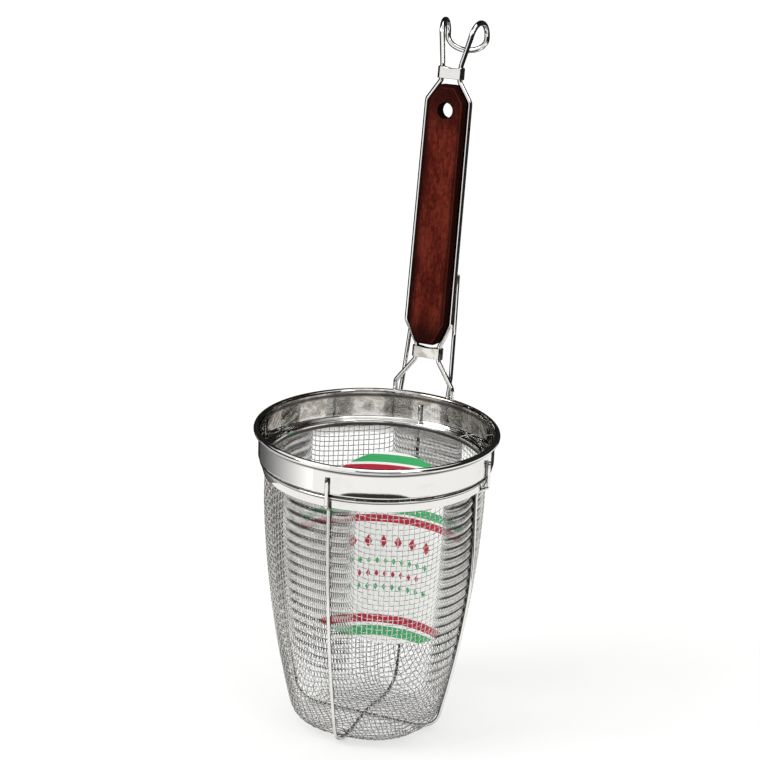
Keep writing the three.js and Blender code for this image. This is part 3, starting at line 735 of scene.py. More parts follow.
def tipped(path, radius):
    """The path with close stations at both ends, and the share of the radius at each station."""
    far = travelled(path)
    depths = np.array([0.0, 0.12, 0.32, 0.62]) * radius
    shares = np.array([0.62, 0.84, 0.96, 1.0])
    clear = depths[-1] * 1.5
    inner = (far > clear) & (far < far[-1] - clear)
    places = np.concatenate([depths, far[inner], far[-1] - depths[::-1]])
    stations = np.column_stack([np.interp(places, far, path[:, axis]) for axis in range(3)])
    return stations, np.concatenate([shares, np.ones(inner.sum()), shares[::-1]])


def round_bar(path, radius, side, sides=16, widths=None, heights=None):
    """Rings of points round a path; side lies across its start, and the section may change on the way."""
    path = thinned(np.asarray(path, float), 0.02 * MM)
    path, shares = tipped(path, radius)
    pieces = unit(np.diff(path, axis=0))
    along = unit(np.concatenate([pieces[:1], pieces[:-1] + pieces[1:], pieces[-1:]]))
    across = [np.asarray(side, float)]
    for direction in along:
        flat = across[-1] - np.dot(across[-1], direction) * direction
        across.append(unit(flat))
    across = np.array(across[1:])
    upward = np.cross(along, across)
    far = travelled(path)
    wide = widths(far, far[-1]) if widths else 1.0
    high = heights(far, far[-1]) if heights else 1.0
    turns = np.arange(sides) * FULL_TURN / sides
    wide = (shares * wide * radius)[:, None, None]
    high = (shares * high * radius)[:, None, None]
    cosine = np.cos(turns)[None, :, None]
    sine = np.sin(turns)[None, :, None]
    return path[:, None] + wide * cosine * across[:, None] + high * sine * upward[:, None]


def from_quarter(turns):
    """How far each turn is from the nearest quarter turn."""
    return abs((turns + math.pi / 4) % (math.pi / 2) - math.pi / 4)


def spun(profile, turns):
    """A profile of radius and height, at each of the given turns round the axis."""
    cosine = np.cos(turns)[:, None]
    sine = np.sin(turns)[:, None]
    height = np.broadcast_to(profile[:, 1], (len(turns), len(profile)))
    return np.stack([profile[:, 0] * cosine, profile[:, 0] * sine, height], axis=-1)


# Measures that several pieces share


class Measures:
    """Radii and heights that follow from the frame and the settings."""

    def __init__(self, settings):
        rim = settings.rim
        self.gap = rim.fit_gap
        self.lip_height = RIM_HIGH.z - rim.lip_tube
        self.lip_radius = RIM_HIGH.x - rim.lip_tube
        self.wall_inner = self.lip_radius - rim.lip_tube
        self.wall_outer = self.wall_inner + rim.sheet
        self.ledge_under = self.lip_height - rim.wall_drop
        self.mouth = self.wall_outer - settings.cloth.inset
        self.cup = cup_outside(settings.cloth, self.mouth)
        self.skirt_outer = self.mouth - settings.cloth.thickness - self.gap
        self.ring_foot = self.mouth + self.gap + rim.sheet
        self.bead_foot = RING_HIGH.z - rim.ring_drop - rim.bead_height
        self.support_gap = settings.wires.radius + self.gap
        self.weld_top = self.lip_height - settings.wires.outer_end_drop
        self.pull = settings.wires.pull
        self.pull_low = settings.wires.pull_low
        handle = settings.handle
        self.leg_depth = self.depth(RIM_HIGH.x + self.gap + handle.radius, handle.leg_spread)
        self.brace_spread = handle.leg_spread - handle.radius - self.gap - handle.brace_radius
        place = Vector((0, self.leg_depth + handle.setback, self.lip_height + handle.rise))
        self.handle_frame = Matrix.Translation(place) @ Matrix.Rotation(-handle.lean, 4, "X")

    def drawn_in(self, height, pull):
        """How far a support wire draws the cloth in at a height."""
        return pull * smooth(height, self.pull_low, RING_LOW.z)

    @staticmethod
    def depth(radius, across):
        return math.sqrt(radius * radius - across * across)

    def local(self, across, back, along):
        """A point of the handle's own frame, in the strainer's frame."""
        return np.array(self.handle_frame @ Vector((across, back, along)))

    def turned(self, points):
        """Points of the handle's own frame, in the strainer's frame."""
        frame_matrix = np.array(self.handle_frame)
        return points @ frame_matrix[:3, :3].T + frame_matrix[:3, 3]


def cup_outside(cloth, mouth):
    """Radius and height of the cloth's outside, from its floor's edge up to its mouth."""
    floor = CLOTH_LOW.z
    heel_top = floor + cloth.heel_height
    swell = floor + cloth.swell_height
    lean = (mouth - cloth.heel_radius) / (swell - heel_top)
    heel_corner = (cloth.heel_radius - lean * cloth.heel_height, floor)
    heel_end = (cloth.heel_radius, heel_top)
    heel = bezier((cloth.floor_radius, floor), heel_corner, heel_end, 16)
    wall = bezier(heel_end, (mouth, swell), (mouth, CLOTH_HIGH.z), 48)
    return np.concatenate([heel, wall[1:]])


# Pieces


class StrainerOperator:
    """What every operator of the strainer shares."""

    bl_options = {"REGISTER", "UNDO"}

    def execute(self, context):
        settings = context.scene.strainer
        self.build(settings, Measures(settings))
        return {"FINISHED"}


class STRAINER_OT_rim(StrainerOperator, Operator):
    """Builds the rolled band with its curled lip, and the clamp ring under it."""

    bl_idname = "strainer.rim"
    bl_label = "Rim band and clamp ring"

    steps = 240

    def band_profile(self, rim, size):
        """The band's section, anticlockwise from the foot of its skirt."""
        under = size.ledge_under
        over = under + rim.sheet
        skirt_inner = size.skirt_outer - rim.sheet
        lip = (size.lip_radius, size.lip_height)
        outer_corner = (size.wall_outer - rim.corner, under + rim.corner)
        inner_corner = (size.wall_inner - rim.fillet, over + rim.fillet)
        shoulder = (size.skirt_outer + rim.fillet - rim.sheet, over - rim.fillet)
        middle = (size.skirt_outer + size.wall_inner) / 2
        groove = [(rim.groove_half, 0), (0, -rim.groove_depth), (-rim.groove_half, 0)]
        return np.concatenate([
            [(skirt_inner, RIM_LOW.z), (size.skirt_outer, RIM_LOW.z)],
            [(size.skirt_outer, under - rim.undercut), (size.skirt_outer + rim.undercut, under)],
            arc(outer_corner, rim.corner, -math.pi / 2, 0, 8),
            [(size.wall_outer, size.lip_height - 2 * rim.lip_tube)],
            arc(lip, rim.lip_tube - rim.sheet, math.pi, -math.pi / 2, 22),
            arc(lip, rim.lip_tube, -math.pi / 2, math.pi, 30),
            [(size.wall_inner, size.lip_height - 2 * rim.lip_tube)],
            arc(inner_corner, rim.fillet, 0, -math.pi / 2, 6),
            np.add(groove, (middle, over)),
            arc(shoulder, rim.fillet, math.pi / 2, math.pi, 6),
        ])

    def ring_profile(self, rim, size):
        """The clamp ring's section: a bead along its head, a taper and a turned-in foot."""
        head = size.wall_outer - rim.ring_inset
        top = RING_HIGH.z - rim.ring_drop
        bottom = RING_LOW.z
        foot = size.ring_foot
        bead = (head - 0.1 * MM, top - rim.ring_bead)
        return np.concatenate([
            [(foot - rim.sheet, bottom)],
            arc((foot - rim.hem, bottom + rim.hem), rim.hem, -math.pi / 2, 0, 4),
            [(foot + 0.12 * MM, bottom + 0.9 * MM), (head - 0.35 * MM, top - 2.1 * MM)],
            [(head - 0.30 * MM, size.bead_foot)],
            arc(bead, rim.ring_bead, -0.3 * math.pi, math.pi / 2, 7),
            [(head - rim.sheet, top), (head - rim.sheet - 0.2 * MM, top - 2 * MM)],
        ])

    def build(self, settings, size):
        rim = settings.rim
        finish = material("sheet_steel", sheet_steel, settings.finish, size)
        half = rim.seam_width / size.wall_inner / 2
        seam = rim.seam + half * np.array([-1, -0.6, 0, 0.6, 1])
        plain = seam[-1] + (FULL_TURN - 2 * half) * np.arange(1, self.steps) / self.steps
        profile = self.band_profile(rim, size)
        ring = np.concatenate([profile[-1:], profile, profile[:1]])
        sunk = offset(ring, -rim.seam_depth)[1:-1]
        turns = np.concatenate([seam, plain])
        band = spun(profile, turns)
        band[1:4] = spun(sunk, turns[1:4])
        shell = Shell()
        shell.grid(band, wrap_rows=True)
        shell.make("rim_band_rolled", finish, "polished_steel", "rim_band")

        split = math.asin(rim.slot / 2 / size.ring_foot)
        turns = math.pi / 2 + np.linspace(split, FULL_TURN - split, self.steps)
        shell = Shell()
        shell.tube(spun(self.ring_profile(rim, size), turns))
        shell.make("clamp_ring_beaded", finish, "polished_steel", "clamp_ring")
        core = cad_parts["rim_core_wire"].data.materials
        core.clear()
        core.append(material("drawn_wire", drawn_wire, settings.finish))


class STRAINER_OT_cloth(StrainerOperator, Operator):
    """Weaves the cup: square cloth pressed into a bowl, so that four zones stay square and four close up."""

    bl_idname = "strainer.cloth"
    bl_label = "Woven cup"

    sides = 4
    seed = 7
    stations = 140
    floor_step = 0.5 * MM
    waves = (9 * MM, 23 * MM)
    mean_ridge = 0.64
    # Radians past the edge of an open zone where the weave starts to close up, and where it is closed
    shut_edge = (-0.03, 0.12)
    # Runs from the axis over which the cloth takes its draped form, swells, closes up, is shaded beside the
    # wires, and comes clear of its darkening
    draped = (15 * MM, 56 * MM)
    swelling = (8 * MM, 30 * MM)
    closing = (58 * MM, 104 * MM)
    shaded = (70 * MM, 95 * MM)
    darkened = (70 * MM, 120 * MM)
    # Runs below the mouth over which it comes free to swell, to be drawn in and to close up
    swell_free = (0, 30 * MM)
    pull_free = (3 * MM, 10 * MM)
    close_free = (0, 8 * MM)

    def meridian(self, cloth, size):
        """Radius and height of the cloth's middle, from the axis up to the mouth."""
        floor_runs = np.arange(0, cloth.floor_radius, self.floor_step)
        dent = cloth.dent_rise * (1 - smooth(floor_runs, cloth.dent_top, cloth.dent_foot))
        floor = np.column_stack([floor_runs, CLOTH_LOW.z + dent])
        return offset(np.concatenate([floor, size.cup]), -cloth.thickness / 2)

    def drape(self, cloth, mouth, first, second):
        """Where a point of the flat cloth comes to lie: its run from the axis, its turn and its row."""
        half = cloth.open_half * mouth
        wide = abs(first)
        deep = abs(second)
        large = np.maximum(wide, deep)
        small = np.minimum(wide, deep)
        over = small - half
        beyond = np.maximum(over, 0)
        over = (over + np.sqrt(over * over + cloth.ease * cloth.ease)) / 2
        run = large + over
        closed = math.pi / 2 - 2 * cloth.open_half
        turn = cloth.open_half * np.minimum(small / half, 1)
        turn = turn + closed * beyond / np.maximum(large + beyond - half, MM)
        turn = np.where(wide >= deep, turn, math.pi / 2 - turn)
        flat_run = np.hypot(wide, deep)
        flat_turn = np.arctan2(deep, wide)
        share = smooth(flat_run, *self.draped)
        run = flat_run + share * (run - flat_run)
        turn = flat_turn + share * (turn - flat_turn)
        turn = np.arctan2(np.sin(turn) * np.sign(second), np.cos(turn) * np.sign(first))
        return run, turn, (wide + deep) / cloth.pitch

    def lift(self, cloth, size, run, turn, row, height, last):
        """How far the cloth stands out, is closed up, and lies in a valley outside or inside."""
        below = last - run
        from_wire = from_quarter(turn + cloth.turn)
        from_open = from_quarter(turn)
        rightward = np.sin(turn + cloth.turn)
        free = smooth(below, *self.swell_free) * smooth(run, *self.swelling)
        swell = cloth.bulge * free * np.sin(2 * from_wire) ** 2
        beside = rightward ** 2 * np.exp(-(from_wire / cloth.pull_half) ** 2)
        swell = swell - beside * smooth(below, *self.pull_free) * size.drawn_in(height, size.pull)
        shut = smooth(from_open - cloth.open_half, *self.shut_edge)
        shut = shut * smooth(run, *self.closing) * smooth(below, *self.close_free)
        ridge = abs(np.cos(math.pi * row / 2))
        stand = swell + cloth.ridge * shut * (ridge - self.mean_ridge)
        # Painted shade on the cloth beside the support wires
        reach = cloth.contact * (1 + cloth.side_contact * np.maximum(rightward, 0) ** 2)
        contact = np.exp(-(from_wire * size.mouth / reach) ** 2) * smooth(run, *self.shaded)
        contact = contact * (1 + np.minimum(rightward, 0))
        # A valley's shade comes in steeply on one side and fades out slowly on the other
        phase = row / 2 % 1
        valley = np.where(phase > 0.499, 2 - 2 * phase, np.clip(phase / 0.2 - 1.5, 0, 1))
        valley = shut * smooth(valley, 0.1, 0.65)
        return stand, shut, np.maximum(valley, contact), smooth(ridge, 0.55, 0.95)

    def strand(self, cloth, size, line, place, runs, family, index, wobble):
        """Rings of points round one woven wire, which passes over and under the wires it crosses."""
        reach = np.arange(-self.stations, self.stations + 1) * cloth.pitch / 2
        short, long = (reach / wave for wave in self.waves)
        uneven = wobble[0] * np.sin(short + wobble[1]) + wobble[2] * np.sin(long + wobble[3])
        fixed = place + cloth.wobble * uneven
        pair = (fixed, reach) if family == 0 else (reach, fixed)
        run, turn, row = self.drape(cloth, size.mouth, *pair)
        inside = np.flatnonzero(run < runs[-1])
        if len(inside) < 4:
            return None
        reach, run, turn, row = (values[inside[0]:inside[-1] + 1] for values in (reach, run, turn, row))
        beat = math.pi * (reach / cloth.pitch + index)
        crossing = (-1) ** family * np.sin(beat)
        radius, height, out, up = (np.interp(run, runs, values) for values in line)
        stand, shut, valley, ridge = self.lift(cloth, size, run, turn, row, height, runs[-1])
        lift = cloth.wire / 2 * crossing + stand
        turn = turn + cloth.turn - math.pi / 2
        radius = radius + out * lift
        path = np.column_stack([radius * np.cos(turn), radius * np.sin(turn), height + up * lift])
        outward = unit(np.column_stack([out * np.cos(turn), out * np.sin(turn), up]))
        along = unit(np.gradient(path, axis=0))
        across = unit(np.cross(along, outward))
        spokes = np.arange(self.sides) * FULL_TURN / self.sides
        facing = np.cos(spokes)
        aside = np.sin(spokes)
        spread = facing[None, :, None] * outward[:, None] + aside[None, :, None] * across[:, None]
        # How bright each point is: bright with wear where the wire rides over, painted shade where it dips,
        # in valleys, beside the support wires, on its inward side and in alternate dashes, and darker low on
        # the cup
        crown = 0.55 + 0.25 * shut[:, None] + ((0.45 - 0.35 * shut) * crossing)[:, None] * facing
        crown = crown + 0.22 * (1 - shut)[:, None] * facing
        sideways = 1 - smooth(abs(along[:, 2]), 0.3, 0.7)
        dash = sideways * (1 - shut) * np.maximum(np.cos(beat), 0)
        inner = np.maximum(valley * (1 - shut), shut * ridge)
        outer_share = np.clip(0.8 + 0.8 * facing, 0, 1)
        depth = outer_share * valley[:, None] + (1 - outer_share) * inner[:, None]
        darkening = cloth.darkening * (1 - shut) * (1 - smooth(run, *self.darkened))
        wear_and_painted_light = crown * (1 - depth) * (1 - 0.7 * dash[:, None]) * (1 - darkening[:, None])
        return path[:, None] + cloth.wire / 2 * spread, wear_and_painted_light

    def build(self, settings, size):
        cloth = settings.cloth
        finish = material("woven_wire", woven_wire, settings.finish)
        middle = self.meridian(cloth, size)
        runs = travelled(middle)
        along = unit(np.gradient(middle, axis=0))
        line = (middle[:, 0], middle[:, 1], along[:, 1], -along[:, 0])
        draw = np.random.default_rng(self.seed)
        last = int(runs[-1] / cloth.pitch)
        for family, name in enumerate(("woven_warp", "woven_weft")):
            shell = Shell()
            wear_and_shade_rows = []
            for index in range(-last, last + 1):
                wobble = draw.uniform((0.2, 0, 0.2, 0), (1, FULL_TURN, 1, FULL_TURN))
                place = (index + 0.5) * cloth.pitch
                made = self.strand(cloth, size, line, place, runs, family, index, wobble)
                if made is not None:
                    shell.tube(made[0])
                    wear_and_shade_rows.append(made[1].ravel())
            piece = shell.make(name, finish, "woven_steel", "mesh_basket", sharp=180)
            wear_and_painted_light = piece.data.attributes.new("crown", "FLOAT", "POINT")
            wear_and_painted_light.data.foreach_set("value", np.concatenate(wear_and_shade_rows))


class STRAINER_OT_supports(StrainerOperator, Operator):
    """Bends the two support wires under the cup, with flattened, welded ends."""

    bl_idname = "strainer.supports"
    bl_label = "Support wires"

    blend = 4

    def outer_end(self, settings, size, pull):
        wires = settings.wires
        wall_run = size.wall_outer + size.support_gap
        return [
            (wall_run, size.lip_height - wires.outer_end_drop),
            (wall_run, RING_LOW.z + wires.step_rise),
            (size.mouth + size.support_gap - pull, RING_LOW.z - wires.step_drop),
        ]

    def inner_end(self, settings, size):
        wires = settings.wires
        wall_run = size.wall_inner - size.support_gap
        return [
            (wall_run, size.lip_height - wires.inner_end_drop),
            (wall_run, size.ledge_under + settings.rim.sheet + size.support_gap),
            (size.mouth + size.support_gap, RING_LOW.z - wires.step_drop),
        ]

    def half(self, settings, size, end, pull=0.0):
        """From a welded end down to the floor, as reach from the axis and height."""
        wires = settings.wires
        run = offset(size.cup, size.support_gap)
        run[:, 0] -= size.drawn_in(run[:, 1], pull)
        run[0] = (settings.cloth.floor_radius, wires.radius)
        run = run[run[:, 1] < RING_LOW.z - wires.step_in][::-1]
        bends = bent([*end, run[0], run[self.blend]], wires.bend)
        return np.concatenate([bends, run[self.blend + 1:]])

    def build(self, settings, size):
        wires = settings.wires
        finish = material("drawn_wire", drawn_wire, settings.finish)
        outer = self.half(settings, size, self.outer_end(settings, size, 0.0))
        inner = self.half(settings, size, self.inner_end(settings, size))
        drawn = self.half(settings, size, self.outer_end(settings, size, wires.pull), wires.pull)
        low = wires.radius
        high = 3 * wires.radius + size.gap
        hump = bent([
            (settings.cloth.floor_radius, low), (wires.hump_foot, low), (wires.hump_top, high),
            (-wires.hump_top, high), (-wires.hump_foot, low), (-settings.cloth.floor_radius, low),
        ], wires.bend)[1:-1]
        mirror = np.array([-1, 1])
        runs = {
            "support_wire_fore_aft": (np.concatenate([inner, hump, outer[::-1] * mirror]), (0, 1, 0)),
            "support_wire_cross": (np.concatenate([drawn, drawn[::-1] * mirror]), (1, 0, 0)),
        }

        def near_end(far, total):
            return 1 - smooth(np.minimum(far, total - far), 0.6 * wires.weld_length, wires.weld_length)

        def widths(far, total):
            return 1 + (wires.weld_width - 1) * near_end(far, total)

        def heights(far, total):
            return 1 + (wires.weld_height - 1) * near_end(far, total)

        for node, (run, direction) in runs.items():
            direction = np.array(direction, float)
            path = run[:, :1] * direction + run[:, 1:] * np.array([0, 0, 1.0])
            side = np.cross(direction, (0, 0, 1))
            shell = Shell()
            shell.tube(round_bar(path, wires.radius, side, widths=widths, heights=heights))
            shell.make(node + "_round", finish, "polished_steel", node)


class STRAINER_OT_handle(StrainerOperator, Operator):
    """Bends the handle wire with its double hook, and the two braces behind it."""

    bl_idname = "strainer.handle"
    bl_label = "Handle wire and braces"

    turn_steps = 24
    loop_steps = 32

    def foot(self, settings, size, across, radius):
        """Up the band's wall, then out past the lip."""
        handle = settings.handle
        wall_depth = size.depth(size.wall_outer + size.gap + radius, abs(across))
        lip_depth = size.depth(RIM_HIGH.x + size.gap + radius, abs(across))
        return [
            (across, wall_depth, size.ledge_under + handle.foot_rise),
            (across, wall_depth, size.lip_height - handle.foot_joggle),
            (across, lip_depth, size.lip_height - settings.rim.lip_tube),
        ]

    def half(self, settings, size, side):
        """From a foot up past the grip to the end of the hook's turn."""
        handle = settings.handle
        overrun = handle.ferrule_overrun
        lower_top = -handle.lower_taper
        upper_bottom = handle.side_length + handle.upper_taper
        upper_top = upper_bottom + handle.ferrule_height
        hook = upper_top + handle.hook_rise
        leg = size.lip_height + handle.leg_bend_rise
        lower = side * handle.lower_spread
        upper = side * handle.upper_spread
        corners = [
            *self.foot(settings, size, side * handle.leg_spread, handle.radius),
            (side * handle.leg_spread, size.leg_depth, leg),
            size.local(lower, handle.lower_setback, lower_top - handle.ferrule_height - overrun),
            size.local(lower, handle.lower_setback, lower_top + overrun),
            size.local(side * handle.side_spread, 0, 0),
            size.local(side * handle.side_spread_top, 0, handle.side_length),
            size.local(upper, 0, upper_bottom - overrun),
            size.local(upper, 0, upper_top + overrun),
            size.local(side * handle.hook_neck_spread, handle.hook_lean, hook),
        ]
        turns = np.linspace(0, math.pi, self.turn_steps + 1)[1:]
        spread = handle.hook_neck_spread + (handle.hook_spread - handle.hook_neck_spread) * np.sin(turns / 2)
        back = handle.hook_lean + handle.hook_bend * (1 - np.cos(turns))
        over = np.column_stack([side * spread, back, hook + handle.hook_bend * np.sin(turns)])
        return np.concatenate([bent(corners, handle.bend), size.turned(over)])

    def saddle(self, settings, size):
        """The hook's rear loop, from one bend to the other."""
        handle = settings.handle
        hook = handle.side_length + handle.upper_taper + handle.ferrule_height + handle.hook_rise
        turns = np.linspace(0, math.pi, self.loop_steps + 1)[1:-1]
        back = np.full(len(turns), handle.hook_lean + 2 * handle.hook_bend)
        loop = np.column_stack([
            handle.hook_spread * np.cos(turns), back, hook - handle.saddle_depth * np.sin(turns),
        ])
        return size.turned(loop)

    def brace(self, settings, size, side):
        handle = settings.handle
        across = side * size.brace_spread
        back = handle.radius + size.gap + handle.brace_radius
        heel = size.lip_height + handle.brace_heel_rise
        knee = size.lip_height + handle.brace_knee_rise
        return bent([
            *self.foot(settings, size, across, handle.brace_radius),
            (across, size.leg_depth + handle.brace_heel_setback, heel),
            (side * handle.side_spread, size.leg_depth + handle.brace_knee_setback, knee),
            size.local(side * (handle.side_spread + handle.brace_shift), back, handle.brace_top),
        ], handle.brace_bend)

    def build(self, settings, size):
        handle = settings.handle
        finish = material("drawn_wire", drawn_wire, settings.finish)
        right = self.half(settings, size, 1)
        left = self.half(settings, size, -1)
        path = np.concatenate([right, self.saddle(settings, size), left[::-1]])

        def stout(far, total):
            from_loop = abs(far - total / 2)
            thin = smooth(from_loop, handle.hook_reach, 1.25 * handle.hook_reach)
            return 1 + handle.hook_swell * (1 - thin)

        shell = Shell()
        shell.tube(round_bar(path, handle.radius, (1, 0, 0), 20, stout, stout))
        shell.make("handle_wire_round", finish, "polished_steel", "handle_wire")
        for side, node in ((-1, "brace_wire_left"), (1, "brace_wire_right")):
            shell = Shell()
            shell.tube(round_bar(self.brace(settings, size, side), handle.brace_radius, (1, 0, 0), 18))
            shell.make(node + "_round", finish, "polished_steel", node)


class STRAINER_OT_ferrules(StrainerOperator, Operator):
    """Folds the two flat ferrules round the side wires."""

    bl_idname = "strainer.ferrules"
    bl_label = "Ferrules"

    def outline(self, spread, radius):
        """Once round a flat sleeve with round ends, from the middle of its back."""
        flat = np.linspace(0, spread, 9)[:-1]
        half = np.concatenate([
            np.column_stack([flat, np.full(len(flat), radius)]),
            arc((spread, 0), radius, math.pi / 2, -math.pi / 2, 14),
            np.column_stack([flat[::-1], np.full(len(flat), -radius)]),
        ])
        other = half[1:-1][::-1] * np.array([-1, 1])
        return np.concatenate([half, other])

    def build(self, settings, size):
        handle = settings.handle
        sheet = settings.rim.sheet
        finish = material("sheet_steel", sheet_steel, settings.finish, size)
        bore = handle.radius + size.gap
        upper_bottom = handle.side_length + handle.upper_taper
        lower_bottom = -handle.lower_taper - handle.ferrule_height
        sleeves = (
            ("lower_ferrule", handle.lower_spread, handle.lower_setback, lower_bottom),
            ("upper_ferrule", handle.upper_spread, 0, upper_bottom),
        )
        edge = handle.ferrule_edge
        # Distance out from the bore, share of the height, and rise from there
        section = (
            (sheet, 0, edge), (sheet - edge, 0, 0), (0, 0, 0),
            (0, 1, 0), (sheet - edge, 1, 0), (sheet, 1, -edge),
        )
        for node, spread, back, bottom in sleeves:
            rows = []
            for out, share, rise in section:
                ring = self.outline(spread, bore + out)
                between = np.cos(np.clip(ring[:, 0] / spread, -1, 1) * math.pi / 2) ** 2
                depth = ring[:, 1] - np.sign(ring[:, 1]) * handle.ferrule_pinch * between
                height = rise + share * (handle.ferrule_height - handle.ferrule_dip * between)
                rows.append(np.column_stack([ring[:, 0], depth + back, bottom + height]))
            shell = Shell()
            shell.grid(np.array([size.turned(row) for row in rows]), wrap_rows=True)
            shell.make(node + "_folded", finish, "polished_steel", node)


class STRAINER_OT_grip(StrainerOperator, Operator):
    """Shapes the wooden grip, with rounded edges, wire grooves and a countersunk hang hole."""

    bl_idname = "strainer.grip"
    bl_label = "Wooden grip"

    points = 360
    groove_margin = 1.1

    def taper(self, settings, side_spread, ferrule_spread, taper, gap):
        """Where a tapered end starts, how long it is, and half its width at either end."""
        inset = settings.grip.inset
        slope = (side_spread - ferrule_spread) / (taper - settings.handle.ferrule_overrun)
        slant = math.hypot(1, slope)
        reach = taper - gap
        start = inset * (1 - slant) / slope
        return start, reach, side_spread - inset, side_spread - inset * slant - slope * reach

    def outline(self, settings):
        """Once round the grip, as evenly spaced points across and along it."""
        handle = settings.handle
        grip = settings.grip
        low = self.taper(
            settings, handle.side_spread, handle.lower_spread, handle.lower_taper, grip.lower_gap,
        )
        high = self.taper(
            settings, handle.side_spread_top, handle.upper_spread, handle.upper_taper, grip.upper_gap,
        )
        top = handle.side_length
        right = [(low[3], -low[1]), (low[2], -low[0]), (high[2], top + high[0]), (high[3], top + high[1])]
        left = [(-x, z) for x, z in right[::-1]]
        run = bent([(0, -low[1]), *right, *left, (0, -low[1])], grip.corner, 8)
        run = thinned(run, 0.01 * MM)
        far = travelled(run)
        places = np.arange(self.points) / self.points * far[-1]
        return np.column_stack([np.interp(places, far, run[:, axis]) for axis in range(2)]), top + high[1]

    def build(self, settings, size):
        grip = settings.grip
        finish = material("grip_lacquer", lacquered_wood, settings.finish, settings.handle.lean)
        outline, top = self.outline(settings)
        ahead = np.roll(outline, -1, axis=0) - np.roll(outline, 1, axis=0)
        outward = unit(np.column_stack([ahead[:, 1], -ahead[:, 0]]))
        beside = smooth(abs(outward[:, 0]), 0.3, 0.8)[:, None]
        hole = np.array([0, top - grip.hole_drop])
        spokes = unit(outline - hole)
        half = grip.thickness / 2
        turns = np.linspace(0, math.pi / 2, 9)
        channel = settings.handle.radius + size.gap
        channel_half = math.sqrt(channel ** 2 - grip.inset ** 2)

        def rounding(radius):
            """How far a rounded edge stays in from its corner, across and in depth, on its way round."""
            return [(radius * (1 - math.sin(turn)), radius * (1 - math.cos(turn))) for turn in turns]

        rows = []

        def add(points, depth):
            rows.append(np.column_stack([points[:, 0], np.full(len(points), depth), points[:, 1]]))

        edge = rounding(grip.bevel)
        hole_edge = rounding(grip.countersink)
        levels = np.linspace(-1, 1, 9) * channel_half
        groove = [(math.sqrt(channel ** 2 - level * level) - grip.inset, level) for level in levels]
        groove_end = self.groove_margin * channel_half
        for wider, deeper in reversed(hole_edge):
            add(hole + spokes * (grip.hole + wider), deeper - half)
        for inset, deeper in edge:
            add(outline - outward * inset, deeper - half)
        for inset, depth in [(0, -groove_end), *groove, (0, groove_end)]:
            add(outline - outward * inset * beside, depth)
        for inset, deeper in reversed(edge):
            add(outline - outward * inset, half - deeper)
        for wider, deeper in hole_edge:
            add(hole + spokes * (grip.hole + wider), half - deeper)
        shell = Shell()
        shell.grid(size.turned(np.array(rows)), wrap_rows=True)
        shell.make("wood_grip_shaped", finish, "lacquered_wood", "wood_grip", sharp=30)


class STRAINER_OT_card(StrainerOperator, Operator):
    """Curves the loose card against the inside of the cup."""

    bl_idname = "strainer.card"
    bl_label = "Loose card"

    columns = 60
    corner_rows = 25
    side_rows = 14

    def build(self, settings, size):
        card = settings.card
        cloth = settings.cloth
        finish = material("striped_card", printed_card, settings.finish, card)
        turns = np.linspace(0, math.pi / 2, self.corner_rows)
        low = card.bottom + card.corner * (1 - np.cos(turns))
        high = card.top - card.corner * (1 - np.cos(turns[::-1]))
        levels = np.concatenate([low, np.linspace(low[-1], high[0], self.side_rows)[1:-1], high])
        into = np.maximum(card.bottom + card.corner - levels, levels - card.top + card.corner)
        into = np.maximum(into, 0)
        half = card.width / 2 - card.corner + np.sqrt(np.maximum(card.corner ** 2 - into ** 2, 0))
        across = half[:, None] * np.linspace(-1, 1, self.columns)
        turn = np.array(Matrix.Rotation(card.turn, 3, "Z"))
        sheets = []
        for clear in (0, card.thickness):
            wall = offset(size.cup, -cloth.thickness - size.gap - clear)
            radius = np.interp(levels, wall[:, 1], wall[:, 0])[:, None]
            depth = np.sqrt(radius ** 2 - across ** 2)
            points = np.stack([across, depth, np.broadcast_to(levels[:, None], across.shape)], axis=-1)
            sheets.append(points @ turn.T)
        back, front = sheets
        both = np.concatenate([back, front[:, ::-1]], axis=1)
        shell = Shell()
        numbers = shell.grid(both)
        for ring in (numbers[0], numbers[-1]):
            count = self.columns
            for step in range(count - 1):
                shell.cap(ring[[step, step + 1, 2 * count - 2 - step, 2 * count - 1 - step]])
        shell.make("insert_card_printed", finish, "printed_card", "insert_card", sharp=35)


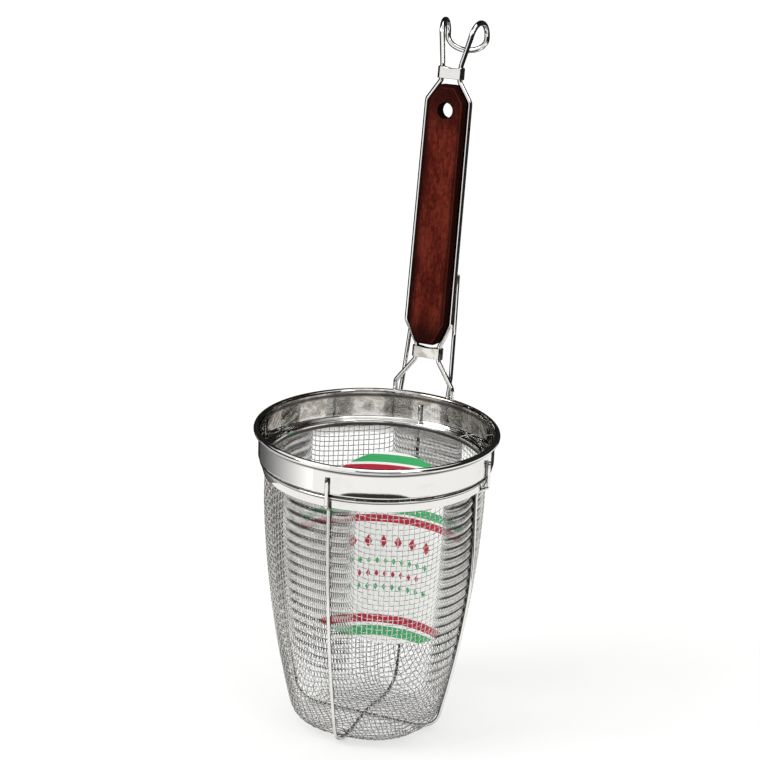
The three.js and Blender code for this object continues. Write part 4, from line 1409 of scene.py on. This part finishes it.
class STRAINER_OT_stage(StrainerOperator, Operator):
    """Sets the floor, the lamps, the dark cards, the white surroundings and the camera."""

    bl_idname = "strainer.stage"
    bl_label = "Stage"

    aim = (0, 0, 0.2)
    floor_reach = 8.0
    card_columns = 25
    # Each lamp has a name, its place and its width in metres
    lamps = (
        ("key", (-2.6, -2.4, 3.2), 2.4),
        ("fill", (3.0, -1.5, 2.2), 2.0),
        ("top", (0.0, 0.5, 4.0), 2.5),
    )
    # Each dark card has a name, its ends in degrees round from the front to the right, its section as
    # reach from the axis and height in metres, and what is particular to it
    dark_cards = (
        ("round_right", (5, 160), ((1.5, 0.0), (1.5, 1.0)), {}),
        ("round_left", (-135, -48), ((1.5, 0.0), (1.5, 1.0)), {}),
        ("low", (35, 75), ((0.24, 0.002), (0.33, 0.002)), {}),
        ("right", (66, 165), ((0.5, 0.07), (0.5, 0.75)), {}),
        ("left", (-135, -100), ((0.5, 0.07), (0.5, 0.6)), {}),
        ("front", (-26, 71), ((0.28, 0.002), (0.408, 0.002)), {"pointed": True}),
        ("back", (192, 250), ((1.2, 0.0), (1.2, 1.2)), {}),
        ("high", (158, 200), ((1.2, 0.8), (1.2, 1.7)), {}),
        ("back_low", (166, 235), ((0.15, 0.003), (2.4, 0.003)), {}),
        ("band_left", (-125, -36), ((0.28, 0.004), (0.70, 0.004)), {"graded": True}),
        ("hook", (98, 306), ((0.14, 0.29), (0.14, 0.47), (0.03, 0.53)), {"back": 0.105}),
        ("neck", (100, 300), ((0.11, 0.163), (0.11, 0.30)), {"back": 0.085}),
    )

    def plain_rays(self, finish):
        """1 for rays that should see plain white: from the camera, in gloss and through glass."""
        path = finish.node("ShaderNodeLightPath")
        seen = path["Is Camera Ray"] + path["Is Glossy Ray"] + path["Is Transmission Ray"]
        return seen.math("MINIMUM", 1.0)

    def surroundings(self, stage):
        finish = Finish(bpy.data.worlds.new("studio"))
        seen = self.plain_rays(finish)
        strength = stage.ambient + (1 - stage.ambient) * seen
        sockets = {"Color": (1, 1, 1, 1), "Strength": strength}
        light = finish.node("ShaderNodeBackground", {}, sockets)["Background"]
        finish.node("ShaderNodeOutputWorld", {}, {"Surface": light})
        bpy.context.scene.world = finish.holder

    def floor(self, stage):
        """A pale floor that looks white to its far end and keeps the strainer's shadow."""
        finish = Finish(bpy.data.materials.new("pale_floor"))
        cloudy = finish.noise(finish.place((3, 3, 3)), 2.0, 0.5)
        shade = finish.mix(cloudy, stage.floor, stage.floor_cloud)
        far = finish.vector("LENGTH", finish.place())["Value"]
        bright = 0.48 + 0.12 * finish.ramp(far, 0.6, 2.6)
        glow = finish.mix(self.plain_rays(finish) * bright, (0, 0, 0), (1, 1, 1))
        pale = finish.surface(base_color=shade, roughness=1.0, emission_color=glow, emission_strength=1.0)
        corners = np.array([[(-1, -1, 0), (1, -1, 0)], [(-1, 1, 0), (1, 1, 0)]])
        shell = Shell()
        shell.grid(self.floor_reach * corners, wrap_columns=False)
        shell.place("floor", pale)

    def lamp(self, name, place, width, watts):
        light = bpy.data.lights.new(name, "AREA")
        light.shape = "DISK"
        light.size = width
        light.energy = watts
        lamp = bpy.data.objects.new(name, light)
        lamp.location = place
        lamp.rotation_euler = (Vector(self.aim) - Vector(place)).to_track_quat("-Z", "Y").to_euler()
        bpy.context.scene.collection.objects.link(lamp)

    def dark_card(self, name, ends, section, back=0.0, pointed=False, graded=False):
        """A curved dark card that only polished metal shows, as a photographer's flag does."""
        finish = Finish(bpy.data.materials.new(name))
        soft = finish.noise(finish.place((2, 2, 2)), 2.0, 0.5)
        shade = finish.mix(soft, (0.003, 0.003, 0.003), (0.010, 0.010, 0.010))
        if graded:
            split = finish.split(finish.place())
            bearing = split["X"].math("ARCTAN2", -1 * split["Y"])
            pale = (bearing - math.radians(ends[0])) / math.radians(ends[1] - ends[0])
            shade = finish.mix(pale * pale, (0.06, 0.06, 0.06), (0.95, 0.95, 0.95))
        turns = np.radians(np.linspace(ends[0], ends[1], self.card_columns) - 90)
        sheet = spun(np.array(section), turns)
        sheet[..., 1] += back
        if pointed:
            width = 1 - np.linspace(-1, 1, len(turns)) ** 4
            sheet[:, 1] = sheet[:, 0] + (sheet[:, 1] - sheet[:, 0]) * width[:, None]
        shell = Shell()
        shell.grid(sheet, wrap_columns=False)
        flag = shell.place(name, finish.surface(base_color=shade, roughness=1.0))
        for ray in ("camera", "diffuse", "shadow", "transmission", "volume_scatter"):
            setattr(flag, "visible_" + ray, False)

    def camera(self, stage):
        flat = math.cos(stage.elevation)
        across = math.sin(stage.azimuth) * flat
        ahead = -math.cos(stage.azimuth) * flat
        back = Vector((across, ahead, math.sin(stage.elevation)))
        right = (-back).cross(Vector((0, 0, 1))).normalized()
        up = right.cross(-back)
        cosine = math.cos(stage.roll)
        sine = math.sin(stage.roll)
        tipped_right = cosine * right + sine * up
        tipped_up = cosine * up - sine * right
        lens = bpy.data.cameras.new("camera")
        lens.lens = stage.lens
        lens.sensor_width = 36
        camera = bpy.data.objects.new("camera", lens)
        aim = Vector((0, stage.aim_depth, stage.aim_height))
        turn = Matrix((tipped_right, tipped_up, back)).transposed().to_4x4()
        camera.matrix_world = Matrix.Translation(aim + back * stage.distance) @ turn
        bpy.context.scene.collection.objects.link(camera)
        bpy.context.scene.camera = camera

    def build(self, settings, size):
        stage = settings.stage
        bpy.context.scene.view_settings.view_transform = "Standard"
        self.surroundings(stage)
        self.floor(stage)
        for name, place, width in self.lamps:
            self.lamp(name, place, width, getattr(stage, name))
        for name, ends, section, particular in self.dark_cards:
            self.dark_card("dark_card_" + name, ends, section, **particular)
        self.camera(stage)


class STRAINER_PT_pieces(Panel):
    """Lists the strainer's pieces, each with its button."""

    bl_idname = "STRAINER_PT_pieces"
    bl_label = "Noodle strainer"
    bl_space_type = "VIEW_3D"
    bl_region_type = "UI"
    bl_category = "Strainer"

    def draw(self, context):
        for operator in OPERATORS:
            self.layout.operator(operator.bl_idname)


OPERATORS = (
    STRAINER_OT_stage,
    STRAINER_OT_rim,
    STRAINER_OT_cloth,
    STRAINER_OT_supports,
    STRAINER_OT_handle,
    STRAINER_OT_ferrules,
    STRAINER_OT_grip,
    STRAINER_OT_card,
)
GROUPS = (
    RimSettings,
    ClothSettings,
    WireSettings,
    HandleSettings,
    GripSettings,
    CardSettings,
    FinishSettings,
    StageSettings,
    StrainerSettings,
)
CLASSES = (*GROUPS, *OPERATORS, STRAINER_PT_pieces)


def register():
    for each in CLASSES:
        bpy.utils.register_class(each)
    bpy.types.Scene.strainer = PointerProperty(type=StrainerSettings)


def unregister():
    del bpy.types.Scene.strainer
    for each in reversed(CLASSES):
        bpy.utils.unregister_class(each)


def main():
    register()
    bpy.ops.strainer.stage()
    bpy.ops.strainer.rim()
    bpy.ops.strainer.cloth()
    bpy.ops.strainer.supports()
    bpy.ops.strainer.handle()
    bpy.ops.strainer.ferrules()
    bpy.ops.strainer.grip()
    bpy.ops.strainer.card()


if __name__ == "__main__":
    main()
